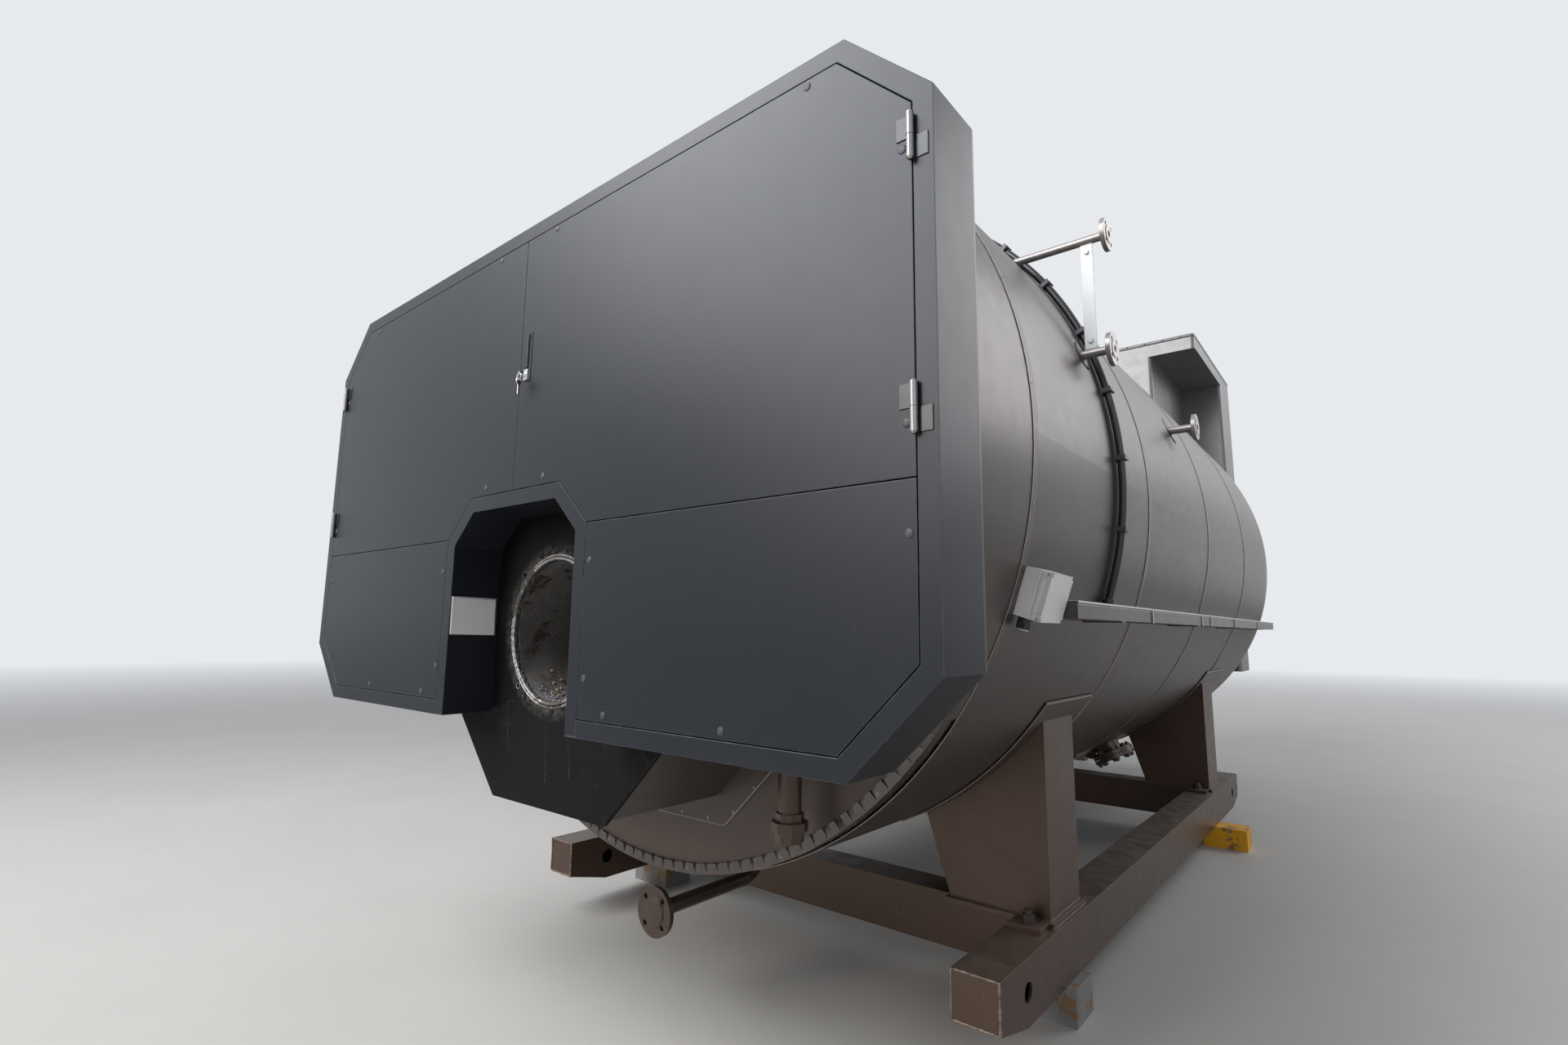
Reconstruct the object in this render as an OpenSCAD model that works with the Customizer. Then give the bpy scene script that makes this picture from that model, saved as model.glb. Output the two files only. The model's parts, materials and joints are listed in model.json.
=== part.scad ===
// Horizontal fire-tube steam boiler with its front casing, skid and rear economizer.
// X runs to the right as seen from the burner end, Y to the rear and Z up.
// Lengths along Y are taken from the casing front and heights from the rail underside.

/* [Shell] */
// Outside diameter of the sheet cladding
clad_d = 2450; // [2400:5:2480]
// Height of the shell axis above the rail underside
axis_h = 1547; // [1520:1:1580]
// Length of the clad shell
clad_len = 4380; // [4320:10:4500]
// Distance from the casing front to the front edge of the shell
setback = 568; // [540:2:600]
// Thickness of the cladding sheet
clad_t = 4; // [3:0.5:5]
// Width by which one cladding sheet laps over the next
lap_w = 30; // [20:1:40]
// Rise of a lapped edge above the sheet under it
lap_rise = 2; // [1.5:0.5:3]
// Length of a full cladding sheet along the shell
sheet_len = 1088; // [1060:4:1140]
// Depth of the pressure shell below the outside of the cladding
lagging_t = 125; // [110:1:140]
// Wall of the pressure shell
shell_wall = 16; // [12:1:20]
// Thickness of each tube plate
tube_plate_t = 20; // [16:1:26]
// Depth of the tube plates behind the end plates
end_lagging = 54; // [40:1:70]

/* [Crimped band] */
// Length of the narrow front and rear bands along the shell
band_len = 86; // [70:1:100]
// Width of the flange that is folded inward at the shell ends
flange_w = 30; // [24:1:40]
// Number of pleats round the folded flange
pleat_count = 160; // [120:4:180]
// Width of a pleat at the inner edge of the flange
pleat_w = 23; // [18:1:28]
// Height of a pleat at the inner edge of the flange
pleat_rise = 7; // [4:0.5:9]
// Distance round the shell of the lengthwise laps from straight down
seam_angle = 25.7; // [22:0.1:28]

/* [Casing] */
// Reach of the casing beyond the cladding on each side
casing_side = 75; // [60:1:90]
// Distance of the casing underside below the shell axis
casing_low = 739; // [720:1:760]
// Height of the casing top above the shell axis
casing_high = 669; // [650:1:690]
// Depth of the casing
casing_depth = 154; // [140:1:170]
// Width of the fixed border round the doors and panels
border = 41; // [34:1:50]
// Size of the lower corner chamfers
lower_chamfer = 187; // [160:1:210]
// Size of the upper corner chamfers
upper_chamfer = 190; // [160:1:210]
// Thickness of the casing sheet
casing_t = 3; // [2:0.5:4]
// Thickness of the plate behind the casing
back_plate_t = 6; // [4:0.5:8]
// Half angle that each fairing covers above and below the horizontal
fairing_half = 34.4; // [32:0.2:36]
// Width of the burner notch
notch_w = 608; // [590:2:640]
// Height of the straight notch sides
notch_side_h = 495; // [480:1:520]
// Height of the notch above its straight sides
notch_crown_h = 92; // [80:1:110]
// Width of the flat top of the notch
notch_top_w = 412; // [400:2:440]
// Width of the ledge behind the doors
ledge_w = 20; // [16:1:26]
// Width of the rails and post behind the door seams
rail_bar_w = 44; // [36:1:54]
// Depth of the rails and post behind the door seams
rail_bar_t = 20; // [14:1:26]

/* [Doors] */
// Gap round each door and panel
door_gap = 3; // [2.5:0.5:5]
// Depth of the folded door edges
door_depth = 20; // [16:1:22]
// Clearance between a closed door and the ledge
door_clear = 5; // [5:0.5:6]
// Length of a hinge
hinge_len = 88; // [76:1:100]
// Diameter of a hinge barrel
barrel_d = 14; // [12:0.5:15]
// Diameter of a hinge pin
pin_d = 8; // [6:0.5:9]
// Width of a hinge leaf
leaf_w = 32; // [26:1:36]
// Height of the lower hinges above the seam under the doors
hinge_low = 118; // [100:1:140]
// Depth of the upper hinges below the upper chamfer
hinge_high = 87; // [70:1:110]
// Height of the handle
handle_h = 140; // [120:1:160]
// Width of the handle
handle_w = 30; // [26:1:36]
// Diameter of the lock in the handle
lock_d = 20; // [16:1:22]
// Distance of the handle from the centre seam
handle_x = 38; // [32:1:60]
// Height of the handle centre above the seam under the doors
handle_up = 492; // [440:1:560]

/* [Smoke box] */
// Height of the smoke box underside above the lowest line of the cladding
box_rise = 255; // [240:1:270]
// Width of the smoke box underside
box_bottom_w = 524; // [500:2:540]
// Distance of the smoke box sides in from the cladding
box_in = 135; // [125:1:155]
// Height of the smoke box above the top of its straight sides
box_crown_h = 240; // [220:1:260]
// Height of the straight sides of the smoke box
box_side_h = 470; // [440:5:490]
// Wall of the smoke box
box_wall = 8; // [6:1:10]
// Thickness of the burner plate
burner_plate_t = 12; // [10:1:16]
// Reach of the burner plate beyond the smoke box
plate_over = 10; // [6:1:14]
// Depth of the burner centre below the shell axis
burner_drop = 491; // [480:1:500]
// Diameter of the burner opening
burner_d = 402; // [380:2:420]
// Bolt circle of the burner
burner_pcd = 464; // [454:2:474]
// Diameter of the burner bolt holes
burner_hole_d = 14; // [12:1:18]
// Wall of the refractory throat
throat_wall = 60; // [40:1:70]
// Step from the burner opening out to the wider throat
throat_step = 6; // [4:1:10]
// Outside diameter of the furnace tube
furnace_d = 860; // [820:10:880]
// Wall of the furnace tube
furnace_wall = 14; // [12:1:18]
// Width of the collar on the end plate round the smoke box
skirt_w = 80; // [66:1:90]

/* [Skid] */
// Distance of each rail centre in from the side of the cladding
rail_in = 299; // [285:1:315]
// Width of a rail
rail_w = 140; // [120:2:150]
// Height of a rail
rail_h = 175; // [165:1:190]
// Wall of a rail
rail_wall = 8; // [6:1:10]
// Distance from the casing front to the rail front
rail_front = 865; // [845:5:885]
// Length of a rail
rail_len = 3740; // [3700:10:3800]
// Rise of the sloped rail ends
toe_h = 44; // [30:1:55]
// Length of the sloped rail ends
toe_len = 180; // [150:5:220]
// Diameter of the lifting holes in the rails
rail_hole_d = 55; // [45:1:60]
// Distance of a lifting hole from the rail end
rail_hole_in = 186; // [150:1:220]
// Height of the packing blocks under the rails
block_h = 110; // [90:1:130]
// Length of a packing block
block_len = 215; // [200:5:260]
// Width of a packing block
block_w = 150; // [120:1:160]
// Distance from the casing front to the front packing blocks
block_front = 1350; // [1320:5:1380]
// Distance from the casing front to the rear packing blocks
block_rear = 3810; // [3780:5:3840]
// Reach of the front packing blocks beyond the outer side of a rail
front_block_out = 28; // [20:1:40]
// Reach of the rear packing blocks beyond the outer side of a rail
rear_block_out = 150; // [135:1:165]

/* [Saddles] */
// Distance from the casing front to the front saddles
saddle_front = 1314; // [1290:2:1340]
// Distance from the casing front to the rear saddles
saddle_rear = 3870; // [3830:5:3900]
// Length of a saddle leg along the shell
saddle_len = 270; // [250:2:290]
// Reach of a leg beyond the rail centre
leg_over = 42; // [30:1:55]
// Width of a leg at its foot
leg_w = 334; // [320:1:350]
// Lean of the inner side of a leg towards the middle
leg_lean = 0.33; // [0.28:0.01:0.36]
// Thickness of the leg plates
leg_plate = 12; // [10:1:16]
// Thickness of the foot plate
foot_t = 15; // [12:1:20]
// Reach of the bolt tab in front of a leg
tab_len = 88; // [74:1:100]
// Width of the bolt tab
tab_w = 104; // [90:1:116]
// Diameter of the foot bolt
foot_bolt_d = 24; // [20:1:30]
// Width of the flashing on the inner and outer side of the leg tops
flashing_w = 46; // [36:1:56]
// Width of the flashing in front of and behind the leg tops
flashing_end = 92; // [80:1:100]

/* [Pipes and nozzles] */
// Depth of the blowdown pipes below the lowest line of the cladding
blowdown_drop = 131; // [120:1:136]
// Distance from the casing front to the front blowdown flange
blowdown_front = 565; // [550:5:600]
// Distance from the casing front to the front blowdown branch
blowdown_rise = 1060; // [1040:5:1100]
// Distance of the rear blowdown flange behind its branch
blowdown_rear_reach = 480; // [460:5:500]
// Distance from the casing front to the rear blowdown branch
blowdown_rear_rise = 4440; // [4400:5:4500]
// Distance from the casing front to the level gauge nozzles
gauge_y = 1242; // [1225:1:1260]
// Height of the upper gauge nozzles above the shell axis
gauge_high = 764; // [745:1:780]
// Height of the lower gauge nozzles above the shell axis
gauge_low = 386; // [370:1:400]
// Reach of the side flanges beyond the side of the cladding
gauge_over = 37; // [30:1:50]
// Width of the bar between the gauge nozzles
gauge_bar_w = 36; // [30:1:44]
// Distance of the bar between the gauge nozzles in from their flange faces
gauge_bar_in = 70; // [60:1:80]
// Distance from the casing front to the side nozzle
side_nozzle_y = 2502; // [2450:2:2550]
// Height of the side nozzle above the shell axis
side_nozzle_up = 421; // [400:1:440]
// Distance from the casing front to the bottom inspection opening
hand_hole_y = 3400; // [3350:5:3450]
// Angle of the bottom inspection opening from straight down
hand_hole_angle = 27; // [24:1:30]
// Reach of the bottom inspection nozzle beyond the cladding
hand_hole_rise = 70; // [60:1:80]
// Distance of the drain pipes from the middle
drain_x = 618; // [605:1:630]
// Distance from the casing front to the drain pipes
drain_y = 468; // [455:1:480]
// Length of the drain pipes below the smoke box
drain_len = 401; // [385:1:415]
// Diameter of the drain pipes
drain_d = 60; // [54:1:66]
// Wall of the drain pipes
drain_wall = 4; // [3:0.5:5]

/* [Top fittings] */
// Distance from the casing front to the steam outlet
steam_y = 2700; // [2650:10:2740]
// Distance from the casing front to the first safety valve nozzle
valve_y = 1900; // [1860:10:1950]
// Distance between the safety valve nozzles
valve_pitch = 340; // [300:10:360]
// Distance from the casing front to the manhole
manhole_y = 3350; // [3300:10:3400]
// Outside diameter of the manhole neck
manhole_d = 430; // [400:5:450]
// Wall of the manhole neck
manhole_wall = 15; // [12:1:20]
// Reach of the manhole flange beyond the neck
manhole_rim = 65; // [55:1:75]
// Thickness of the manhole flange and of its cover
manhole_t = 30; // [24:1:36]
// Height of the top nozzles above the cladding
nozzle_rise = 150; // [130:5:180]
// Distance of the lifting lugs from the shell ends
lug_in = 640; // [600:10:680]
// Width of a lifting lug
lug_w = 180; // [160:5:200]
// Thickness of a lifting lug
lug_t = 24; // [20:1:30]
// Height of a lifting lug above the cladding
lug_rise = 130; // [115:5:145]
// Diameter of the eye in a lifting lug
lug_eye_d = 64; // [56:1:72]

/* [Cable run] */
// Angle of the junction box below the horizontal
box_angle = 18.1; // [17.2:0.1:19]
// Distance from the casing front to the junction box
jbox_y = 659; // [659:1:668]
// Length of the junction box along the shell
jbox_len = 152; // [130:1:165]
// Height of the junction box
jbox_h = 120; // [108:1:122]
// Depth of the junction box
jbox_d = 66; // [58:1:70]
// Thickness of the lid of the junction box
jbox_lid = 24; // [18:1:30]
// Diameter of the screw pockets in the lid
jbox_pocket_d = 12; // [8:1:16]
// Diameter of the cable gland under the junction box
gland_d = 30; // [24:1:34]
// Length of the cable gland
gland_len = 32; // [20:1:40]
// Depth of the top of the cable tray below the shell axis
tray_drop = 402; // [395:1:410]
// Height of the cable tray
tray_h = 44; // [36:1:50]
// Reach of the cable tray beyond the side of the cladding
tray_over = 25; // [18:1:32]
// Distance of the rear end of the tray from the end of the cladding sheets
tray_rear = 120; // [100:5:150]
// Distance from the casing front to the conduit
conduit_y = 1322; // [1318:1:1330]
// Diameter of the conduit
conduit_d = 26; // [22:1:30]
// Width of the strap under the conduit
strap_w = 44; // [36:1:50]
// Angle of the upper end of the conduit above the horizontal
conduit_end = 86; // [82:0.5:88]
// Rough angle between two conduit clips, which are spread evenly
clip_pitch = 10.3; // [9.8:0.1:10.8]

/* [Rear end] */
// Distance of the rear smoke box in from the cladding
rear_drum_in = 225; // [180:5:260]
// Length of the rear smoke box
rear_drum_len = 122; // [100:2:140]
// Width of the economizer core
core_w = 1104; // [1060:4:1140]
// Length of the economizer core
core_len = 1100; // [1040:10:1140]
// Height of the economizer top above the shell axis
economizer_high = 1814; // [1780:1:1850]
// Distance of the economizer underside below the shell axis
economizer_low = 787; // [750:1:820]
// Width of the economizer head
head_w = 1720; // [1680:5:1760]
// Height of the economizer head
head_h = 120; // [100:1:140]
// Radius of the upright corners of the economizer
corner_r = 25; // [15:1:35]
// Length of the rear duct
duct_len = 430; // [400:5:460]
// Diameter of the flue outlet
flue_d = 450; // [420:5:480]
// Height of the flue outlet
flue_h = 110; // [90:1:120]
// Wall of the flue outlet
flue_wall = 5; // [4:0.5:8]
// Distance of the flue outlet from the rear of the economizer
flue_edge = 60; // [50:5:90]
// Side of the economizer leg tubes
stand_leg = 100; // [80:2:120]
// Wall of the economizer leg tubes
stand_wall = 6; // [5:0.5:8]

/* [Hidden] */
$fn = 96;
// Finer division for the large rounds of the shell
shell_fn = 360;

casing_color = [0.17, 0.17, 0.18];
clad_color = [0.42, 0.38, 0.35];
skid_color = [0.33, 0.27, 0.24];
black_color = [0.07, 0.07, 0.08];
steel_color = [0.6, 0.59, 0.57];
grey_color = [0.72, 0.73, 0.75];

// Small gap that keeps curved faces of neighbouring pieces apart
fit = 0.3;
// Overcut that carries a hole or cut clear of the faces it passes
over = 2;

clad_r = clad_d / 2;
shell_r = clad_r - lagging_t;
clad_low = axis_h - clad_r;
lagging_r = clad_r - 2 * clad_t - 2 * fit;
band_r = clad_r - clad_t - fit;
shell_end = setback + clad_len;
plate_y = setback + clad_t;
tube_plate_front = plate_y + clad_t + end_lagging;
tube_plate_rear = shell_end - clad_t - clad_t - end_lagging;
sheets_start = setback + band_len;
sheets_end = shell_end - band_len;
sheet_starts = [for (y = [sheets_start:sheet_len:sheets_end - sheet_len / 2]) y];
sheet_count = len(sheet_starts);

casing_hw = clad_r + casing_side;
casing_bottom = axis_h - casing_low;
casing_top = axis_h + casing_high;
notch_hw = notch_w / 2;
notch_top_hw = notch_top_w / 2;
notch_shoulder = casing_bottom + notch_side_h;
notch_top = notch_shoulder + notch_crown_h;
hinge_x = casing_hw - border - door_gap / 2;
ledge_y = door_depth + door_clear;

hinge_y = -(barrel_d / 2 + 1);
leaf_t = 2;

box_hw = clad_r - box_in;
box_bottom = clad_low + box_rise;
box_shoulder = box_bottom + box_hw - box_bottom_w / 2;
box_side_top = box_shoulder + box_side_h;
box_top = box_side_top + box_crown_h;
box_front = casing_depth + burner_plate_t;
burner_z = axis_h - burner_drop;
throat_d = burner_d + 2 * throat_step;

rail_x = clad_r - rail_in;
rail_rear = rail_front + rail_len;
foot_z = rail_h;
leg_out = rail_x + leg_over;
leg_in = leg_out - leg_w;

blowdown_z = clad_low - blowdown_drop;
side_reach = clad_r + gauge_over;
gauge_heights = [axis_h + gauge_low, axis_h + gauge_high];
side_nozzle_z = axis_h + side_nozzle_up;
drain_end_z = box_bottom + drain_x - box_bottom_w / 2 - drain_len;
tray_top = axis_h - tray_drop;
tray_out = clad_r + tray_over;

jbox_r = clad_r + fit;
econ_front = shell_end + rear_drum_len;
core_end = econ_front + core_len;
econ_end = core_end + duct_len;
economizer_top = axis_h + economizer_high;
economizer_bottom = axis_h - economizer_low;

front_reach = barrel_d + 1;
mid_y = (econ_end - front_reach) / 2;

// Places the model with its middle over the origin and its blocks on the ground
module placed() {
    translate([0, -mid_y, block_h]) children();
}

// Direction of an edge as a unit vector
function unit(v) = v / norm(v);
// Normal on the left of the edge from a to b
function left_of(a, b) = let (u = unit(b - a)) [-u.y, u.x];
// Corner b moved by d to the left of the edges that meet there
function corner(a, b, c, d) =
    let (s = left_of(a, b) + left_of(b, c)) b + s * (2 * d / (s * s));
// Closed outline moved inward by d, for corners listed anticlockwise
function inset(p, d) = let (n = len(p))
    [for (i = [0:n - 1]) corner(p[(i + n - 1) % n], p[i], p[(i + 1) % n], d)];
// Open path moved to its left by d
function beside(p, d) = let (n = len(p)) concat(
    [p[0] + d * left_of(p[0], p[1])],
    [for (i = [1:n - 2]) corner(p[i - 1], p[i], p[i + 1], d)],
    [p[n - 1] + d * left_of(p[n - 2], p[n - 1])]);
function reversed(p) = [for (i = [len(p) - 1:-1:0]) p[i]];
function mirrored(p) = [for (q = reversed(p)) [-q.x, q.y]];

// Upright plate whose outline is drawn in X and Z
module upright(y, t) {
    translate([0, y + t, 0]) rotate([90, 0, 0]) linear_extrude(t) children();
}

// Cylinder round the shell axis
module axial(y0, y1, r) {
    translate([0, y0, axis_h]) rotate([-90, 0, 0])
        cylinder(h = y1 - y0, r = r, $fn = shell_fn);
}

// Arc round the shell axis between two angles from the horizontal on the right
module shell_arc(y, a0, a1) {
    translate([0, y, axis_h]) rotate([90, 0, 0]) rotate(a0)
        rotate_extrude(angle = a1 - a0, $fn = shell_fn) children();
}

module axial_ring(y0, y1, r_out, r_in) {
    difference() {
        axial(y0, y1, r_out);
        axial(y0 - over, y1 + over, r_in);
    }
}

// Turns upward pieces so that they point away from the shell axis
module radial(angle, y) {
    translate([0, y, axis_h]) rotate([0, 90 - angle, 0]) children();
}

// Casing outline without the burner notch
casing_outline = [
    [casing_hw - lower_chamfer, casing_bottom], [casing_hw, casing_bottom + lower_chamfer],
    [casing_hw, casing_top - upper_chamfer], [casing_hw - upper_chamfer, casing_top],
    [upper_chamfer - casing_hw, casing_top], [-casing_hw, casing_top - upper_chamfer],
    [-casing_hw, casing_bottom + lower_chamfer], [lower_chamfer - casing_hw, casing_bottom]
];
// Edge of the burner notch from its lower left corner over the top to the lower right
notch_path = [
    [-notch_hw, casing_bottom], [-notch_hw, notch_shoulder], [-notch_top_hw, notch_top],
    [notch_top_hw, notch_top], [notch_hw, notch_shoulder], [notch_hw, casing_bottom]
];
seam_outline = inset(casing_outline, border + door_gap);
seam_notch = beside(notch_path, border + door_gap);
seam_z = seam_notch[4].y;
door_outline = [
    [door_gap / 2, seam_notch[3].y], seam_notch[3], seam_notch[4],
    [seam_outline[2].x, seam_z], seam_outline[2], seam_outline[3],
    [door_gap / 2, seam_outline[3].y]
];
panel_outline = [
    [seam_notch[5].x, seam_outline[0].y], seam_outline[0], seam_outline[1],
    [seam_outline[1].x, seam_z - door_gap], [seam_notch[5].x, seam_z - door_gap]
];
box_outline = [
    [box_bottom_w / 2, box_bottom], [box_hw, box_shoulder], [box_hw, box_side_top],
    [box_hw - box_crown_h, box_top], [box_crown_h - box_hw, box_top],
    [-box_hw, box_side_top], [-box_hw, box_shoulder], [-box_bottom_w / 2, box_bottom]
];

// Hollow skid rail of rectangular tube with closed sloped ends and lifting holes
module rail(side) {
    inner_x = side * rail_x - rail_w / 2;
    outline = [
        [rail_front, toe_h], [rail_front + toe_len, 0], [rail_rear - toe_len, 0],
        [rail_rear, toe_h], [rail_rear, rail_h], [rail_front, rail_h]
    ];
    difference() {
        translate([inner_x, 0, 0]) rotate([90, 0, 90]) linear_extrude(rail_w) polygon(outline);
        translate([inner_x + rail_wall, 0, 0]) rotate([90, 0, 90])
            linear_extrude(rail_w - 2 * rail_wall) polygon(inset(outline, rail_wall));
        for (y = [rail_front + rail_hole_in, rail_rear - rail_hole_in])
            translate([inner_x - over, y, rail_h / 2]) rotate([0, 90, 0])
                cylinder(h = rail_w + 2 * over, d = rail_hole_d);
    }
}

module right_rail() { placed() color(skid_color) rail(1); }
module left_rail() { placed() color(skid_color) rail(-1); }

// Tubes between the rails under the saddles
module cross_beams() {
    length = 2 * rail_x - rail_w;
    placed() color(skid_color)
        for (y = [saddle_front, saddle_rear])
            translate([-length / 2, y + (saddle_len - rail_w) / 2, 0]) difference() {
                cube([length, rail_w, rail_h]);
                translate([-over, rail_wall, rail_wall])
                    cube([length + 2 * over, rail_w - 2 * rail_wall, rail_h - 2 * rail_wall]);
            }
}

// Packing blocks that the rails rest on, laid across them
module support_blocks() {
    outer = rail_x + rail_w / 2;
    placed() color(steel_color)
        for (side = [0, 1]) mirror([side, 0, 0]) {
            translate([outer + front_block_out - block_len, block_front, -block_h])
                cube([block_len, block_w, block_h]);
            translate([outer + rear_block_out - block_len, block_rear, -block_h])
                cube([block_len, block_w, block_h]);
        }
}

// Outline of a saddle leg, carried on towards the shell axis
function leg_outline(grow) =
    let (top = axis_h, rise = top - foot_z)
    [[leg_in - grow, foot_z], [leg_out + grow, foot_z], [leg_out + grow, top],
     [leg_in - grow - leg_lean * rise, top]];

module leg_body(grow, len) {
    upright(saddle_len / 2 - len / 2, len) polygon(leg_outline(grow));
}

// Box leg of welded plate on a foot plate, its top cut to the pressure shell
module saddle(side, y) {
    mirror([side < 0 ? 1 : 0, 0, 0]) difference() {
        union() {
            translate([0, y, 0]) difference() {
                translate([0, 0, foot_t]) leg_body(0, saddle_len);
                translate([0, 0, 2 * foot_t]) leg_body(-leg_plate, saddle_len - 2 * leg_plate);
            }
            translate([leg_in - foot_t, y - foot_t, foot_z])
                cube([leg_out - leg_in + 2 * foot_t, saddle_len + 2 * foot_t, foot_t]);
            translate([leg_out - tab_w, y - tab_len, foot_z]) cube([tab_w, tab_len, foot_t]);
        }
        axial(y - tab_len, y + saddle_len + over, shell_r + fit);
        translate([leg_out - tab_w / 2, y - tab_len / 2, foot_z - over])
            cylinder(h = foot_t + 2 * over, d = foot_bolt_d + 2);
    }
}

module front_right_saddle() { placed() color(skid_color) saddle(1, saddle_front); }
module front_left_saddle() { placed() color(skid_color) saddle(-1, saddle_front); }
module rear_right_saddle() { placed() color(skid_color) saddle(1, saddle_rear); }
module rear_left_saddle() { placed() color(skid_color) saddle(-1, saddle_rear); }

// Nuts and bolt ends on the foot tabs
module saddle_bolts() {
    placed() color(steel_color)
        for (side = [-1, 1], y = [saddle_front, saddle_rear])
            translate([side * (leg_out - tab_w / 2), y - tab_len / 2, foot_z + foot_t]) {
                cylinder(h = 4, d = foot_bolt_d * 1.9);
                translate([0, 0, 4]) cylinder(h = foot_bolt_d * 0.8, d = foot_bolt_d * 1.7, $fn = 6);
                cylinder(h = foot_bolt_d * 1.5, d = foot_bolt_d);
            }
}

// Curved cover sheets round the leg tops
module saddle_flashings() {
    placed() color(clad_color)
        for (side = [0, 1], y = [saddle_front, saddle_rear])
            mirror([side, 0, 0]) difference() {
                intersection() {
                    axial_ring(y - flashing_end, y + saddle_len + flashing_end,
                        clad_r + lap_rise + 2 * fit + clad_t, clad_r + lap_rise + 2 * fit);
                    translate([0, y, 0]) leg_body(flashing_w, saddle_len + 2 * flashing_end);
                }
                translate([0, y, 0]) leg_body(fit, saddle_len + 2 * fit);
            }
}

// Holes through the lagging and the cladding for all that passes through
module passages() {
    for (side = [0, 1], y = [saddle_front, saddle_rear])
        mirror([side, 0, 0]) translate([0, y, 0]) leg_body(fit, saddle_len + 2 * fit);
    translate([0, blowdown_rise, -over]) cylinder(h = axis_h, d = dn40[4] + 2 * fit);
    translate([0, blowdown_rear_rise, -over]) cylinder(h = axis_h, d = dn40[4] + 2 * fit);
    radial(-90 + hand_hole_angle, hand_hole_y) cylinder(h = clad_d, d = dn100[4] + 2 * fit);
    for (side = [-1, 1], z = gauge_heights)
        translate([0, gauge_y, z]) rotate([0, side * 90, 0])
            cylinder(h = clad_d, d = dn20[4] + 2 * fit);
    translate([0, side_nozzle_y, side_nozzle_z]) rotate([0, 90, 0])
        cylinder(h = clad_d, d = dn25[4] + 2 * fit);
    translate([0, steam_y, axis_h]) cylinder(h = clad_d, d = dn150[4] + 2 * fit);
    for (i = [0, 1])
        translate([0, valve_y + i * valve_pitch, axis_h])
            cylinder(h = clad_d, d = dn50[4] + 2 * fit);
    translate([0, manhole_y, axis_h]) cylinder(h = clad_d, d = manhole_d + 2 * fit);
    for (y = lug_places) translate([0, y, axis_h]) lug_body(fit);
}

// Boiler drum with a flat tube plate in each end
module pressure_shell() {
    placed() color(skid_color) difference() {
        axial(tube_plate_front, tube_plate_rear, shell_r);
        axial(tube_plate_front + tube_plate_t, tube_plate_rear - tube_plate_t,
            shell_r - shell_wall);
        translate([0, 0, burner_z - axis_h])
            axial(tube_plate_front - over, tube_plate_front + tube_plate_t + over,
                furnace_d / 2 + fit);
    }
}

// Furnace that the burner fires into, closed at its rear
module furnace_tube() {
    placed() color(skid_color) translate([0, 0, burner_z - axis_h]) difference() {
        axial(tube_plate_front, tube_plate_rear - tube_plate_t, furnace_d / 2);
        axial(tube_plate_front - over, tube_plate_rear - tube_plate_t - furnace_wall,
            furnace_d / 2 - furnace_wall);
    }
}

// Mineral wool jacket between the drum and the sheets
module lagging() {
    placed() color([0.6, 0.55, 0.4]) difference() {
        axial_ring(plate_y + clad_t, shell_end - clad_t - clad_t, lagging_r, shell_r + fit);
        upright(plate_y, 2 * end_lagging) polygon(inset(box_outline, -fit));
        passages();
    }
}

// Ring of cladding whose front edge laps over the sheet in front of it
module lapped_ring(y0, y1) {
    difference() {
        union() {
            axial(y0, y1, clad_r);
            translate([0, y0 - lap_w, axis_h]) rotate([-90, 0, 0])
                cylinder(h = lap_w + clad_t, r1 = clad_r + fit + lap_rise,
                    r2 = clad_r + 2 * fit, $fn = shell_fn);
        }
        axial(y0 - lap_w - over, y0, clad_r + fit);
        axial(y0 - over, y1 + over, clad_r - clad_t);
    }
}

// Lip along the lower edge of a side sheet, where it laps over the bottom sheet
module lengthwise_lap(y0, y1) {
    run = lap_w / clad_r * 180 / PI;
    upright(y0, y1 - y0) translate([0, axis_h]) rotate(seam_angle - 90)
        polygon([[clad_r - clad_t / 2, 0], [clad_r + lap_rise, 0],
                 (clad_r + fit) * [cos(2 * run), sin(2 * run)],
                 (clad_r - clad_t / 2) * [cos(2 * run), sin(2 * run)]]);
}

// One cladding sheet of the shell
module clad_sheet(index) {
    y0 = sheet_starts[index];
    y1 = index < sheet_count - 1 ? y0 + sheet_len - lap_w - over : sheets_end;
    difference() {
        union() {
            lapped_ring(y0, index < sheet_count - 1 ? y0 + sheet_len : sheets_end);
            for (side = [0, 1]) mirror([side, 0, 0]) lengthwise_lap(y0, y1);
        }
        passages();
    }
}

module front_cladding() { placed() color(clad_color) clad_sheet(0); }
module middle_cladding() {
    placed() color(clad_color) for (i = [1:sheet_count - 2]) clad_sheet(i);
}
module rear_cladding() { placed() color(clad_color) clad_sheet(sheet_count - 1); }

// Distance by which the pleats stand inward of the flange
tooth = 2;

// Pleat along +X that is raised at its inner end and runs out at its outer end
module pleat() {
    sunk = clad_t / 4;
    length = flange_w - clad_t + tooth;
    rotate([90, 0, 0]) linear_extrude(pleat_w, center = true)
        polygon([[0, -sunk], [length, -sunk], [length, sunk], [0, pleat_rise]]);
}

// Narrow end band whose flange is folded inward and taken up in pleats
module end_band() {
    axial_ring(setback, setback + band_len, band_r, band_r - clad_t);
    axial_ring(setback, setback + clad_t, band_r, band_r - flange_w);
    translate([0, setback, axis_h]) rotate([90, 0, 0])
        for (i = [0:pleat_count - 1])
            rotate((i + 0.5) * 360 / pleat_count)
                translate([band_r - flange_w - tooth, 0, 0]) pleat();
}

module front_band() { placed() color(clad_color) end_band(); }
module rear_band() {
    placed() color(clad_color)
        translate([0, setback + shell_end, 0]) mirror([0, 1, 0]) end_band();
}

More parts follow.
